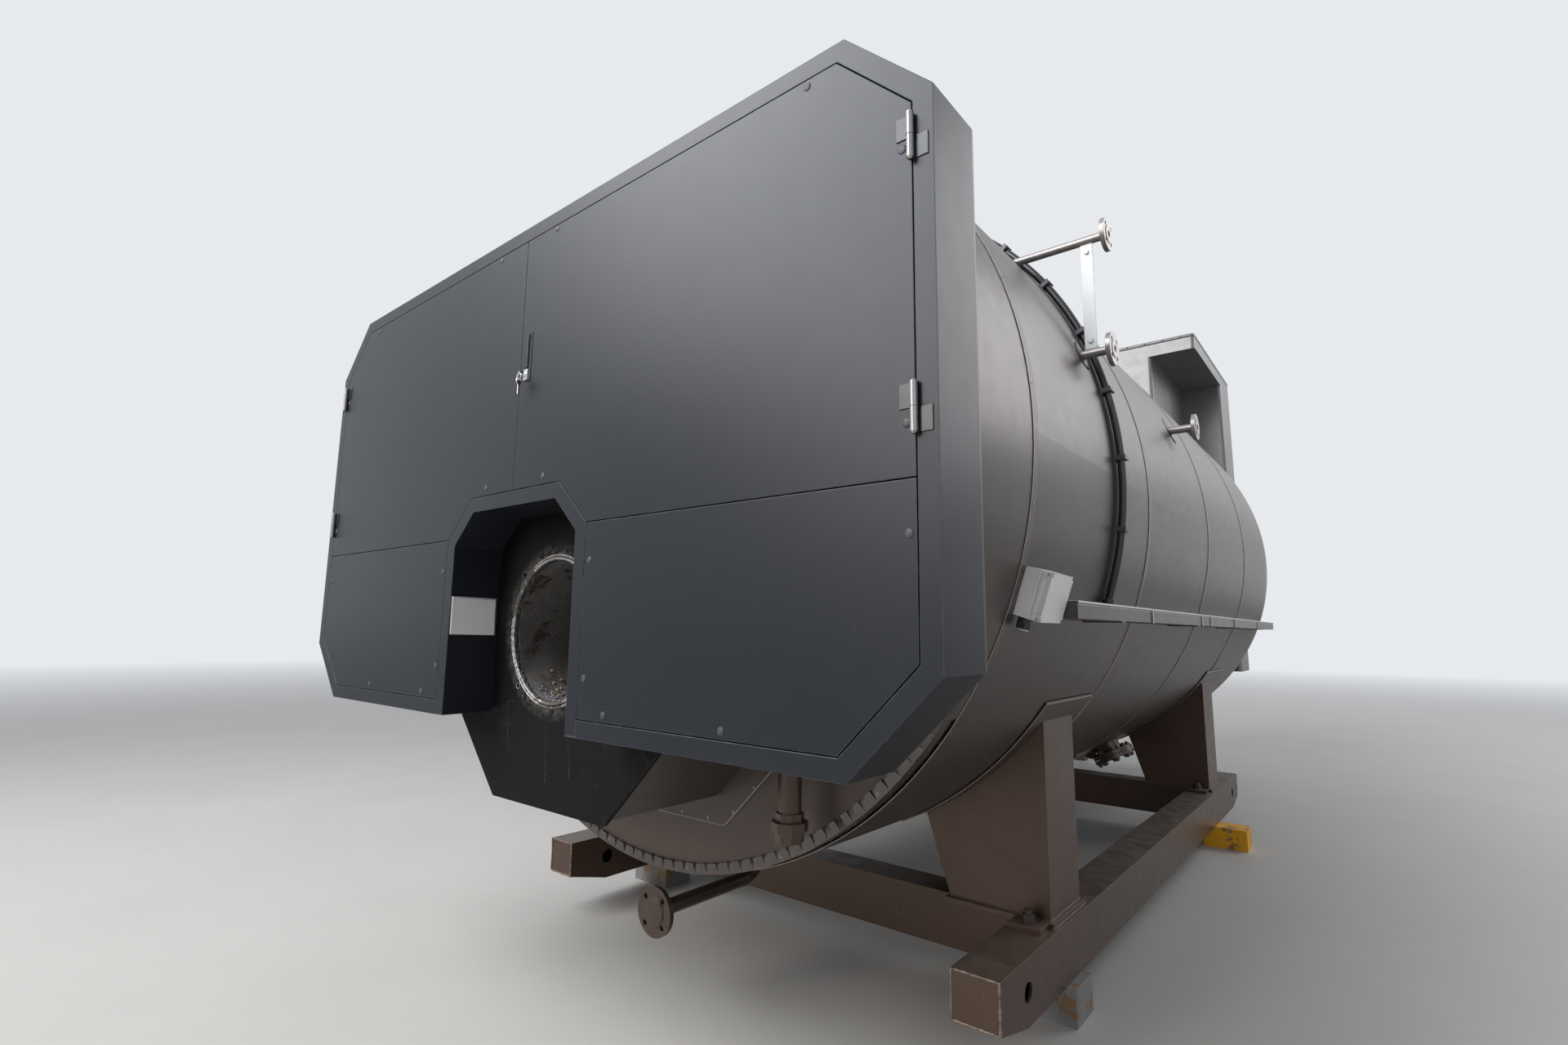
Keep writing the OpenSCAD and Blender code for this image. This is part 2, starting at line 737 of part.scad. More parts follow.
// Sheet that closes the lagging behind the folded flange
module front_end_plate() {
    placed() color(skid_color) difference() {
        axial(plate_y, plate_y + clad_t, band_r - clad_t - fit);
        upright(plate_y - over, clad_t + 2 * over) polygon(inset(box_outline, -fit));
    }
}
module rear_end_plate() {
    placed() color(skid_color)
        axial(shell_end - 2 * clad_t, shell_end - clad_t, band_r - clad_t - fit);
}

// Welded box that turns the gases in front of the tube plate
module smoke_box() {
    placed() color(skid_color)
        upright(box_front, tube_plate_front - box_front) difference() {
            polygon(box_outline);
            polygon(inset(box_outline, box_wall));
        }
}

// Front plate of the smoke box with the burner opening and its bolt holes
module burner_plate() {
    placed() color(black_color) difference() {
        upright(casing_depth, burner_plate_t) polygon(inset(box_outline, -plate_over));
        translate([0, casing_depth - over, burner_z]) rotate([-90, 0, 0]) {
            cylinder(h = burner_plate_t + 2 * over, d = burner_d);
            for (a = [45:90:315]) rotate(a) translate([burner_pcd / 2, 0, 0])
                cylinder(h = burner_plate_t + 2 * over, d = burner_hole_d);
        }
    }
}

// Refractory lined passage from the burner plate into the furnace
module burner_throat() {
    length = tube_plate_front + tube_plate_t - box_front;
    placed() color([0.45, 0.42, 0.38]) translate([0, box_front, burner_z])
        rotate([-90, 0, 0]) difference() {
            cylinder(h = length, d = throat_d + 2 * throat_wall);
            translate([0, 0, -over]) cylinder(h = length + 2 * over, d = throat_d);
        }
}

// Flat collar on the end plate round the smoke box, within the pleated flange
module smoke_box_skirt() {
    placed() color(clad_color) upright(setback, clad_t) difference() {
        intersection() {
            polygon(inset(box_outline, -skirt_w));
            translate([0, axis_h]) circle(r = band_r - flange_w - tooth - over, $fn = shell_fn);
        }
        polygon(inset(box_outline, -fit));
    }
}

// Cylindrical skin on each side, from the casing back over the front of the shell
module front_fairing() {
    depth = sheets_start - casing_depth - back_plate_t;
    placed() color(clad_color)
        for (middle = [0, 180])
            shell_arc(sheets_start, middle - fairing_half, middle + fairing_half)
                translate([clad_r - clad_t, 0]) square([clad_t, depth]);
}

// Plate behind the casing that carries the fairing
module fairing_back_plate() {
    placed() color(clad_color) upright(casing_depth, back_plate_t) difference() {
        polygon(casing_outline);
        polygon(inset(box_outline, -plate_over - fit));
    }
}

// Outer walls and folded border of the casing, open at the notch
module casing_frame() {
    placed() color(casing_color) {
        frame_ring(0, casing_depth, 0, casing_t, casing_t);
        frame_ring(0, casing_t, 0, border, border);
        frame_ring(0, ledge_y + casing_t, border - casing_t, border, border);
        frame_ring(ledge_y, casing_t, border - casing_t, border + ledge_w, border + ledge_w);
    }
}

// Ring between two insets of the casing outline, cut away beside the notch
module frame_ring(y, depth, outer, inner, beside_notch) {
    upright(y, depth) difference() {
        polygon(inset(casing_outline, outer));
        polygon(inset(casing_outline, inner));
        translate([-notch_hw - beside_notch, casing_bottom - over])
            square([2 * (notch_hw + beside_notch), notch_side_h]);
    }
}

// Walls and folded border round the burner notch
module notch_liner() {
    placed() color(casing_color) {
        notch_strip(0, casing_depth, 0, casing_t, 0);
        notch_strip(0, casing_t, 0, border, casing_t);
        notch_strip(0, ledge_y + casing_t, border - casing_t, border, casing_t);
        notch_strip(ledge_y, casing_t, border - casing_t, border + ledge_w, border);
    }
}

// Strip between two offsets of the notch edge, its feet above the casing underside
module notch_strip(y, depth, near, far, foot) {
    upright(y, depth) difference() {
        polygon(concat(beside(notch_path, near), reversed(beside(notch_path, far))));
        translate([-clad_r, casing_bottom + foot - clad_r]) square([clad_d, clad_r]);
    }
}

// Post and rails behind the seams of the doors and panels
module casing_rails() {
    y = ledge_y + casing_t;
    post_bottom = notch_top + casing_t;
    rail_z = seam_z - door_gap / 2 - rail_bar_w / 2;
    placed() color(casing_color) {
        upright(y, rail_bar_t) translate([-rail_bar_w / 2, post_bottom])
            square([rail_bar_w, casing_top - casing_t - post_bottom]);
        for (side = [0, 1]) mirror([side, 0, 0])
            upright(y, rail_bar_t) translate([notch_hw + casing_t, rail_z])
                square([casing_hw - notch_hw - 2 * casing_t, rail_bar_w]);
    }
}

// Sheet tray with folded edges
module tray(outline, depth) {
    upright(0, casing_t) polygon(outline);
    upright(0, depth) difference() {
        polygon(outline);
        polygon(inset(outline, casing_t));
    }
}

handle_z = seam_z + handle_up;
// Width of the rim of the handle on the door sheet
handle_rim = 4;

// Solid with an outline centred on the handle
module handle_block(y0, y1, w, h) {
    translate([handle_x - w / 2, y0, handle_z - h / 2]) cube([w, y1 - y0, h]);
}

module right_door() {
    cut = 2 * (handle_rim - fit);
    placed() color(casing_color) difference() {
        tray(door_outline, door_depth);
        handle_block(-over, casing_t + over, handle_w - cut, handle_h - cut);
    }
}
module left_door() { placed() color(casing_color) tray(mirrored(door_outline), door_depth); }
module right_lower_panel() { placed() color(casing_color) tray(panel_outline, ledge_y); }
module left_lower_panel() {
    placed() color(casing_color) tray(mirrored(panel_outline), ledge_y);
}

// Flush handle with a pocket through the door sheet, a lever in it and a lock below
module door_handle() {
    rim_t = 2;
    pocket_depth = 14;
    pocket_wall = 2;
    lever_w = 9;
    lock_rise = 4;
    pocket_w = handle_w - 2 * handle_rim;
    pocket_h = handle_h - 2 * handle_rim;
    floor_y = pocket_depth - pocket_wall;
    lock_z = handle_z - pocket_h / 2 + pocket_wall + lock_d / 2;
    lever_h = pocket_h - 3 * pocket_wall - lock_d;
    placed() color(black_color) {
        difference() {
            union() {
                handle_block(-rim_t, 0, handle_w, handle_h);
                handle_block(-rim_t, pocket_depth, pocket_w, pocket_h);
            }
            handle_block(-over - rim_t, floor_y, pocket_w - 2 * pocket_wall,
                pocket_h - 2 * pocket_wall);
        }
        translate([handle_x - lever_w / 2, -rim_t, lock_z + lock_d / 2])
            cube([lever_w, floor_y + rim_t + 1, lever_h]);
        translate([handle_x, -rim_t - lock_rise, lock_z]) rotate([-90, 0, 0])
            cylinder(h = floor_y + rim_t + lock_rise + 1, d = pocket_w - 2 * pocket_wall - fit);
    }
}

hinge_places = [
    seam_z + hinge_low, casing_top - upper_chamfer - hinge_high
];
knuckle_gap = 0.5;

// Upper hinge halves with a leaf on the door and a barrel over the pin
module door_hinges(side) {
    half = hinge_len / 2;
    mirror([side < 0 ? 1 : 0, 0, 0])
        for (z = hinge_places) translate([hinge_x, 0, z]) difference() {
            union() {
                translate([0, hinge_y, knuckle_gap]) cylinder(h = half, d = barrel_d);
                translate([-leaf_w, -leaf_t, knuckle_gap]) cube([leaf_w, leaf_t, half]);
            }
            translate([0, hinge_y, -over]) cylinder(h = half, d = pin_d + 0.1);
        }
}

module right_door_hinges() { placed() color(casing_color) door_hinges(1); }
module left_door_hinges() { placed() color(casing_color) door_hinges(-1); }

// Lower hinge halves on the casing border with their pins
module hinge_pins() {
    half = hinge_len / 2;
    placed() color(casing_color)
        for (side = [0, 1], z = hinge_places)
            mirror([side, 0, 0]) translate([hinge_x, 0, z]) {
                translate([0, hinge_y, -half]) cylinder(h = half, d = barrel_d);
                translate([0, -leaf_t, -half]) cube([leaf_w, leaf_t, half]);
                translate([0, hinge_y, -half]) cylinder(h = 2 * half - 2 * over - 2, d = pin_d);
            }
}

// Flange sizes: outside, bolt circle, hole and bore diameters, pipe, holes, thickness, face
dn20 = [105, 75, 14, 21, 27, 4, 16, 58];
dn25 = [115, 85, 14, 27, 34, 4, 16, 68];
dn40 = [150, 110, 18, 41, 48, 4, 18, 88];
dn50 = [165, 125, 18, 53, 60, 4, 20, 102];
dn100 = [220, 180, 18, 105, 114, 8, 22, 158];
dn150 = [285, 240, 22, 157, 168, 8, 24, 212];

// Flange with a raised face at the top
module flange(size, bored = true) {
    face = 2;
    difference() {
        union() {
            cylinder(h = size[6] - face, d = size[0]);
            cylinder(h = size[6], d = size[7]);
        }
        if (bored) translate([0, 0, -over]) cylinder(h = size[6] + 2 * over, d = size[3]);
        for (i = [0:size[5] - 1])
            rotate((i + 0.5) * 360 / size[5]) translate([size[1] / 2, 0, -over])
                cylinder(h = size[6] + 2 * over, d = size[2]);
    }
}

// Straight nozzle of a given length that ends in a flange
module nozzle(size, len) {
    translate([0, 0, len - size[6]]) flange(size);
    difference() {
        cylinder(h = len - size[6] + 1, d = size[4]);
        translate([0, 0, -over]) cylinder(h = len + over, d = size[3]);
    }
}

// Cut back from the pressure shell so that a branch seats on it
module on_shell(y0, y1) {
    difference() {
        children();
        axial(y0, y1, shell_r + fit);
    }
}

// Bottom pipe that turns from the shell towards one end
module blowdown(branch_y, face_y) {
    bend_r = 1.6 * dn40[4];
    way = face_y > branch_y ? 1 : -1;
    run = abs(face_y - branch_y) - bend_r;
    on_shell(branch_y - dn40[4], branch_y + dn40[4])
        translate([0, branch_y, blowdown_z + bend_r])
            cylinder(h = axis_h - shell_r / 2 - blowdown_z, d = dn40[4]);
    translate([0, branch_y + way * bend_r, blowdown_z + bend_r])
        rotate([0, -90, 0]) rotate(way > 0 ? 180 : 90)
            rotate_extrude(angle = 90) translate([bend_r, 0]) circle(d = dn40[4]);
    translate([0, branch_y + way * bend_r, blowdown_z])
        rotate([-90 * way, 0, 0]) nozzle(dn40, run);
}

module front_blowdown() { placed() color(steel_color) blowdown(blowdown_rise, blowdown_front); }
module rear_blowdown() {
    placed() color(steel_color)
        blowdown(blowdown_rear_rise, blowdown_rear_rise + blowdown_rear_reach);
}

// Drain pipes from the smoke box, each with a union at its lower end
module drain_pipes() {
    box_z = drain_end_z + drain_len;
    nuts = [[0, 0.45, 1.25], [0.45, 0.85, 1.6], [0.85, 1.2, 1.25]];
    placed() color(skid_color)
        for (side = [0, 1]) mirror([side, 0, 0]) difference() {
            translate([drain_x, drain_y, drain_end_z]) {
                cylinder(h = box_z - drain_end_z + drain_d, d = drain_d);
                for (n = nuts) translate([0, 0, n[0] * drain_d])
                    cylinder(h = (n[1] - n[0]) * drain_d, d = n[2] * drain_d, $fn = 8);
            }
            translate([drain_x, drain_y, drain_end_z - over])
                cylinder(h = box_z, d = drain_d - 2 * drain_wall);
            upright(drain_y - drain_d, 2 * drain_d) polygon(box_outline);
        }
}

// Bottom inspection nozzle closed by a blind flange
module hand_hole() {
    root = shell_r - dn100[4] / 4;
    length = clad_r + hand_hole_rise - root;
    placed() color(steel_color)
        on_shell(hand_hole_y - 2 * dn100[4], hand_hole_y + 2 * dn100[4])
            radial(-90 + hand_hole_angle, hand_hole_y) translate([0, 0, root]) {
                nozzle(dn100, length);
                translate([0, 0, length]) flange(dn100, false);
            }
}

// Two level gauge nozzles tied by a flat bar
module gauge_pair() {
    bar_x = side_reach - gauge_bar_in;
    bar_t = 6;
    on_shell(gauge_y - dn20[4], gauge_y + dn20[4])
        for (z = gauge_heights)
            translate([0, gauge_y, z]) rotate([0, 90, 0]) nozzle(dn20, side_reach);
    translate([bar_x - gauge_bar_w / 2, gauge_y - bar_t / 2,
               gauge_heights[0] + dn20[4] / 2 - 1])
        cube([gauge_bar_w, bar_t, gauge_high - gauge_low - dn20[4] + 2]);
}

module right_gauge_nozzles() { placed() color(grey_color) gauge_pair(); }
module left_gauge_nozzles() { placed() color(grey_color) mirror([1, 0, 0]) gauge_pair(); }

module side_nozzle() {
    placed() color(grey_color) on_shell(side_nozzle_y - dn25[4], side_nozzle_y + dn25[4])
        translate([0, side_nozzle_y, side_nozzle_z]) rotate([0, 90, 0])
            nozzle(dn25, side_reach);
}

// Nozzle on the crown of the shell
module crown_nozzle(size, y) {
    on_shell(y - size[4], y + size[4])
        translate([0, y, axis_h + shell_r / 2])
            nozzle(size, clad_r + nozzle_rise - shell_r / 2);
}

module steam_outlet() { placed() color(grey_color) crown_nozzle(dn150, steam_y); }
module safety_valve_nozzles() {
    placed() color(grey_color)
        for (i = [0, 1]) crown_nozzle(dn50, valve_y + i * valve_pitch);
}

// Manhole neck and flange with its round cover
module manhole() {
    root = shell_r / 2;
    top = clad_r + nozzle_rise - root;
    placed() color(skid_color) on_shell(manhole_y - manhole_d, manhole_y + manhole_d)
        translate([0, manhole_y, axis_h + root]) {
            difference() {
                union() {
                    cylinder(h = top - manhole_t, d = manhole_d);
                    translate([0, 0, top - 2 * manhole_t])
                        cylinder(h = manhole_t, d = manhole_d + 2 * manhole_rim);
                }
                translate([0, 0, -over]) cylinder(h = clad_d, d = manhole_d - 2 * manhole_wall);
            }
            translate([0, 0, top - manhole_t])
                cylinder(h = manhole_t, d = manhole_d + 2 * manhole_rim);
        }
}

lug_places = [setback + lug_in, shell_end - lug_in];

module lug_body(grow) {
    translate([-lug_t / 2 - grow, -lug_w / 2 - grow, 0])
        cube([lug_t + 2 * grow, lug_w + 2 * grow, clad_r + lug_rise - lug_w / 2]);
}

// Plates with an eye for lifting the boiler
module lifting_lugs() {
    placed() color(skid_color)
        for (y = lug_places) on_shell(y - lug_w, y + lug_w)
            translate([0, y, axis_h]) difference() {
                union() {
                    lug_body(0);
                    translate([-lug_t / 2, 0, clad_r + lug_rise - lug_w / 2])
                        rotate([0, 90, 0]) cylinder(h = lug_t, d = lug_w);
                }
                translate([-lug_t, 0, clad_r + lug_rise - lug_w / 2])
                    rotate([0, 90, 0]) cylinder(h = 2 * lug_t, d = lug_eye_d);
            }
}

tray_front = jbox_y + jbox_len + 2;
tray_back = sheets_end - tray_rear;
// Inner side of the tray, clear of the laps of the cladding
tray_in = sqrt(pow(clad_r + lap_rise, 2) - pow(tray_drop, 2)) + 8;
tray_wall = 2;

// Folded cable tray with its lid, closed behind the junction box and carried on brackets
module cable_tray() {
    width = tray_out - tray_in;
    length = tray_back - tray_front;
    placed() color(clad_color) {
        translate([tray_in, tray_front, tray_top - tray_h]) difference() {
            cube([width, length, tray_h - tray_wall]);
            translate([tray_wall, tray_wall, tray_wall])
                cube([width - 2 * tray_wall, length, tray_h]);
        }
        translate([tray_in - tray_wall, tray_front, tray_top - tray_wall])
            cube([width + 2 * tray_wall, length, tray_wall]);
        for (y = sheet_starts) tray_bracket(min(y, tray_back - sheet_len) + sheet_len / 2);
    }
}

// Flat bracket from the cladding out under the tray
module tray_bracket(y) {
    depth = 40;
    plate_t = 4;
    difference() {
        translate([tray_in - tray_h * 2, y, tray_top - tray_h - plate_t])
            cube([tray_out - tray_in + tray_h * 2, depth, plate_t]);
        axial(y - over, y + depth + over, clad_r + fit);
    }
}

// Plastic box tangent to the cladding with its lid facing out and a gland below
module junction_box() {
    joint = 1;
    base_d = jbox_d - jbox_lid - joint;
    edge = jbox_pocket_d / 2 - 1;
    channel = 2.5;
    placed() color(grey_color)
        translate([0, jbox_y, axis_h]) rotate([0, box_angle, 0])
            translate([jbox_r, 0, -jbox_h / 2]) {
                cube([base_d, jbox_len, jbox_h]);
                translate([base_d, 2, 2]) cube([joint, jbox_len - 4, jbox_h - 4]);
                difference() {
                    translate([base_d + joint, 0, 0]) cube([jbox_lid, jbox_len, jbox_h]);
                    for (y = [edge, jbox_len - edge], z = [edge, jbox_h - edge])
                        translate([jbox_d - jbox_lid / 2, y, z])
                            rotate([0, 90, 0]) cylinder(h = jbox_lid, d = jbox_pocket_d);
                    for (y = [-over, jbox_len - channel])
                        translate([jbox_d - jbox_lid * 0.7, y, 1.4 * jbox_pocket_d])
                            cube([jbox_lid, channel + over, jbox_h - 2.8 * jbox_pocket_d]);
                }
                translate([base_d / 2, gland_d, -gland_len])
                    cylinder(h = gland_len, d = gland_d);
            }
}

conduit_start = -asin(tray_drop / clad_r) + 0.8;
strap_t = 3;

// Flexible conduit that follows the shell from the tray to the crown
module conduit() {
    r = clad_r + fit + strap_t + conduit_d / 2;
    placed() color(black_color)
        shell_arc(conduit_y, conduit_start, conduit_end) translate([r, 0])
            circle(d = conduit_d, $fn = 24);
}

// Strap and clips that hold the conduit
module conduit_clips() {
    r = clad_r + fit;
    clip_w = conduit_d + 16;
    clip_angle = 0.7;
    span = conduit_end - conduit_start - clip_angle;
    clips = round(span / clip_pitch);
    placed() color(black_color) {
        shell_arc(conduit_y, conduit_start, conduit_end) translate([r, -strap_w / 2])
            square([strap_t, strap_w]);
        for (i = [1:clips]) let (a = conduit_start + i * span / clips)
            shell_arc(conduit_y, a, a + clip_angle) translate([r + strap_t - 1, -clip_w / 2])
                difference() {
                    square([conduit_d + 6, clip_w]);
                    translate([1 + conduit_d / 2, clip_w / 2])
                        circle(d = conduit_d + 2 * fit);
                }
    }
}

// Shallow drum between the shell and the economizer
module rear_smoke_box() {
    placed() color(clad_color) axial(shell_end - clad_t, econ_front, clad_r - rear_drum_in);
}

// Sheet housing with rounded upright corners between two places along the shell
module housing(w, y0, y1, z0, z1) {
    for (cut = [[0, corner_r], [corner_r, 0]])
        translate([cut[0] - w / 2, y0 + cut[1], z0])
            cube([w - 2 * cut[0], y1 - y0 - 2 * cut[1], z1 - z0]);
    for (x = [corner_r - w / 2, w / 2 - corner_r], y = [y0 + corner_r, y1 - corner_r])
        translate([x, y, z0]) cylinder(h = z1 - z0, r = corner_r);
}

// Economizer core with the wider head and rear duct round it
module economizer() {
    placed() color(grey_color) {
        housing(core_w, econ_front, core_end + 2 * corner_r, economizer_bottom, economizer_top);
        housing(head_w, econ_front, econ_end, economizer_top - head_h, economizer_top);
        housing(head_w, core_end, econ_end, economizer_bottom, economizer_top);
    }
}

// Legs that carry the economizer beside the skid
module economizer_legs() {
    leg_h = economizer_bottom + block_h;
    placed() color(skid_color)
        for (side = [-1, 1], y = [econ_front + stand_leg, core_end])
            translate([side * (core_w - stand_leg) / 2 - stand_leg / 2, y, -block_h]) {
                difference() {
                    cube([stand_leg, stand_leg, leg_h]);
                    translate([stand_wall, stand_wall, -over])
                        cube([stand_leg - 2 * stand_wall, stand_leg - 2 * stand_wall,
                            leg_h + over - stand_wall]);
                }
            }
}

// Round flue collar on the economizer top
module flue_outlet() {
    placed() color(grey_color)
        translate([0, econ_end - flue_edge - flue_d / 2, economizer_top]) difference() {
            cylinder(h = flue_h, d = flue_d);
            translate([0, 0, -over])
                cylinder(h = flue_h + 2 * over, d = flue_d - 2 * flue_wall);
        }
}

right_rail();
left_rail();
cross_beams();
support_blocks();
front_right_saddle();
front_left_saddle();
rear_right_saddle();
rear_left_saddle();
saddle_bolts();
saddle_flashings();
pressure_shell();
furnace_tube();
lagging();
front_cladding();
middle_cladding();
rear_cladding();
front_band();
rear_band();
front_end_plate();
rear_end_plate();
smoke_box();
burner_plate();
burner_throat();
smoke_box_skirt();
front_fairing();
fairing_back_plate();
casing_frame();
notch_liner();
casing_rails();
right_door();
left_door();
right_lower_panel();
left_lower_panel();
door_handle();
right_door_hinges();
left_door_hinges();
hinge_pins();
drain_pipes();
front_blowdown();
rear_blowdown();
hand_hole();
right_gauge_nozzles();
left_gauge_nozzles();
side_nozzle();
steam_outlet();
safety_valve_nozzles();
manhole();
lifting_lugs();
cable_tray();
junction_box();
conduit();
conduit_clips();
rear_smoke_box();
economizer();
economizer_legs();
flue_outlet();
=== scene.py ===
# %% [markdown]
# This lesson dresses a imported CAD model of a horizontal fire-tube steam boiler.
# The model is loaded as a fixed frame: its solids stay where they are, and everything
# that is made here is a finish on them or a small piece set on them.
# %% Load the frame
import json
import math
import random

import bmesh
import bpy
from mathutils import Matrix, Vector
from mathutils import noise as field


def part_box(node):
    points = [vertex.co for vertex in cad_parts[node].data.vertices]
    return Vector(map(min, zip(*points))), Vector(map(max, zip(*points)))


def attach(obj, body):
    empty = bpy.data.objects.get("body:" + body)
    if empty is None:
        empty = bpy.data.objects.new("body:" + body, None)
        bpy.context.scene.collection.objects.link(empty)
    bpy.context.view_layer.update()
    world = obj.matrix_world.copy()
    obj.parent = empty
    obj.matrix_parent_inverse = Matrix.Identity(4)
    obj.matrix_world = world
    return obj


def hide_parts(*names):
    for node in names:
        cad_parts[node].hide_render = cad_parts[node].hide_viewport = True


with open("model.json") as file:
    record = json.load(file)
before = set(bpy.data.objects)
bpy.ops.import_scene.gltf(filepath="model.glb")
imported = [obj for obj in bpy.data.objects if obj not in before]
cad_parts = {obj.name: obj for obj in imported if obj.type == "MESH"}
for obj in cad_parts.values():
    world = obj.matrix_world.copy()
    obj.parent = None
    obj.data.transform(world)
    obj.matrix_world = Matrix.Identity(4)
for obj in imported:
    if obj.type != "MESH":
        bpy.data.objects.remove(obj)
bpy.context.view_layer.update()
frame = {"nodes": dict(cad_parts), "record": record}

# %% [markdown]
# The sizes that many pieces share are written once. Workshop millimetres run across the
# boiler, back from the casing front and up from the underside of the skid rails, so that
# a size read from a drawing can be used as it stands. Pieces that lie on the shell are set
# a seat's height above it.
# %% Shared sizes and the workshop point
MID_Y = 3292.5
BLOCK_H = 110.0
AXIS_H = 1547.0
CLAD_R = 1225.0
LAP_RISE = 2.0
SEAT = 0.3
DOWN_ANGLE = -90.0
SHEET_STARTS = (654.0, 1742.0, 2830.0, 3918.0)
SHEETS_END = 4862.0
SADDLES = (1314.0, 3870.0)
SADDLE_LEN = 270.0
FLASHING_END = 92.0
BAND_FRONT, BAND_REAR, BAND_R = 568.0, 4948.0, 1206.0
BURNER_Z, BURNER_R, PLATE_Y = 1056.0, 201.0, 154.0
TRAY_TOP = 1145.0
GAUGE_Y, GAUGE_ZS = 1242.0, (1933.0, 2311.0)
SIDE_NOZZLE_Y, SIDE_NOZZLE_Z = 2502.0, 1968.0
BLOWDOWN_Z = 191.0
FRONT, RIGHT, UP = Vector((0.0, -1.0, 0.0)), Vector((1.0, 0.0, 0.0)), Vector((0.0, 0.0, 1.0))


def shop(x, y, z):
    """Point in metres from workshop millimetres."""
    return Vector((x, y - MID_Y, z + BLOCK_H)) / 1000


def on_shell(angle, y, rise=0.0):
    """Point and outward direction on the cladding, at an angle above the right side."""
    a = math.radians(angle)
    out = Vector((math.cos(a), 0.0, math.sin(a)))
    r = CLAD_R + rise
    return shop(out.x * r, y, AXIS_H + out.z * r), out


def new_object(name, data):
    """Object made from a mesh, a lamp or a camera, put in the scene."""
    item = bpy.data.objects.new(name, data)
    bpy.context.scene.collection.objects.link(item)
    return item


# %% [markdown]
# The camera comes first, because it decides how fine each detail has to be. A wide lens
# stood low and close to the right front corner, so the casing looms and the shell runs
# away quickly. Its place and angles were solved from the straight edges of the casing.
# %% Camera
CAMERA_AT = (1846.0, -1064.2, 1066.9)
CAMERA_YAW, CAMERA_PITCH, CAMERA_ROLL = 39.395, 8.274, -0.676
FOCAL_PX, IMAGE_W, SENSOR = 898.11, 1920.0, 36.0

camera_data = bpy.data.cameras.new("Camera")
camera_data.sensor_width = SENSOR
camera_data.lens = FOCAL_PX / IMAGE_W * SENSOR
camera_data.clip_end = 200.0
camera = new_object("Camera", camera_data)
turn = (Matrix.Rotation(math.radians(CAMERA_YAW), 3, "Z")
        @ Matrix.Rotation(math.radians(CAMERA_PITCH), 3, "X")
        @ Matrix.Rotation(math.radians(CAMERA_ROLL), 3, "Y"))
right, forward, up = turn.col
looking = Matrix((right, up, -forward)).transposed().to_4x4()
camera.matrix_world = Matrix.Translation(shop(*CAMERA_AT)) @ looking
bpy.context.scene.camera = camera
print("lens", round(camera_data.lens, 2), "mm at", tuple(round(c, 3) for c in shop(*CAMERA_AT)))

# %% [markdown]
# Shader and geometry trees are both built from nodes and links, so one helper serves
# both. It adds a node, sets its options, and fills or links its inputs.
# %% Node helpers


def add(tree, kind, fill=None, **options):
    """New node with options set and its inputs filled with values or linked to sockets."""
    node = tree.nodes.new(kind)
    for key, value in options.items():
        setattr(node, key, value)
    for key, value in (fill or {}).items():
        if isinstance(value, bpy.types.NodeSocket):
            tree.links.new(value, node.inputs[key])
        else:
            node.inputs[key].default_value = value
    return node


def mix_color(tree, factor, a, b):
    """Colour between a and b."""
    node = add(tree, "ShaderNodeMix", {0: factor}, data_type="RGBA")
    for index, value in ((6, a), (7, b)):
        if isinstance(value, bpy.types.NodeSocket):
            tree.links.new(value, node.inputs[index])
        else:
            node.inputs[index].default_value = (*value, 1.0)
    return node.outputs[2]


def spread(tree, value, low, high, to_low, to_high):
    """Value moved from one range to another and kept inside it."""
    return add(tree, "ShaderNodeMapRange", {
        "Value": value, "From Min": low, "From Max": high, "To Min": to_low,
        "To Max": to_high}).outputs["Result"]


def noise(tree, coords, scale, detail=2.0, rough=0.5, distortion=0.0):
    """Grey noise pattern."""
    return add(tree, "ShaderNodeTexNoise", {
        "Vector": coords, "Scale": scale, "Detail": detail, "Roughness": rough,
        "Distortion": distortion}).outputs["Fac"]


def calc(tree, operation, a, b):
    """Result of a sum on two values."""
    return add(tree, "ShaderNodeMath", {0: a, 1: b}, operation=operation).outputs[0]


def product(tree, a, b):
    """One value times another."""
    return calc(tree, "MULTIPLY", a, b)


def vector_calc(tree, operation, a, b=(0.0, 0.0, 0.0)):
    """Outputs of a sum on two vectors: the vector first, then the value."""
    return add(tree, "ShaderNodeVectorMath", {0: a, 1: b}, operation=operation).outputs


# %% [markdown]
# Coated sheet and painted plate are one recipe: a body colour that drifts slowly, a fine
# grain in colour and height, a gloss that varies, dust on what faces up, and thin
# scratches. Each finish sets its own amounts and is kept under its name. All patterns read
# the object's own coordinates in metres, so a scale of 1000 gives grains of about a
# millimetre.
# %% Recipe for painted and coated metal
DUST = (0.42, 0.39, 0.35)
EDGE_R = 0.0016
FINISH = {}


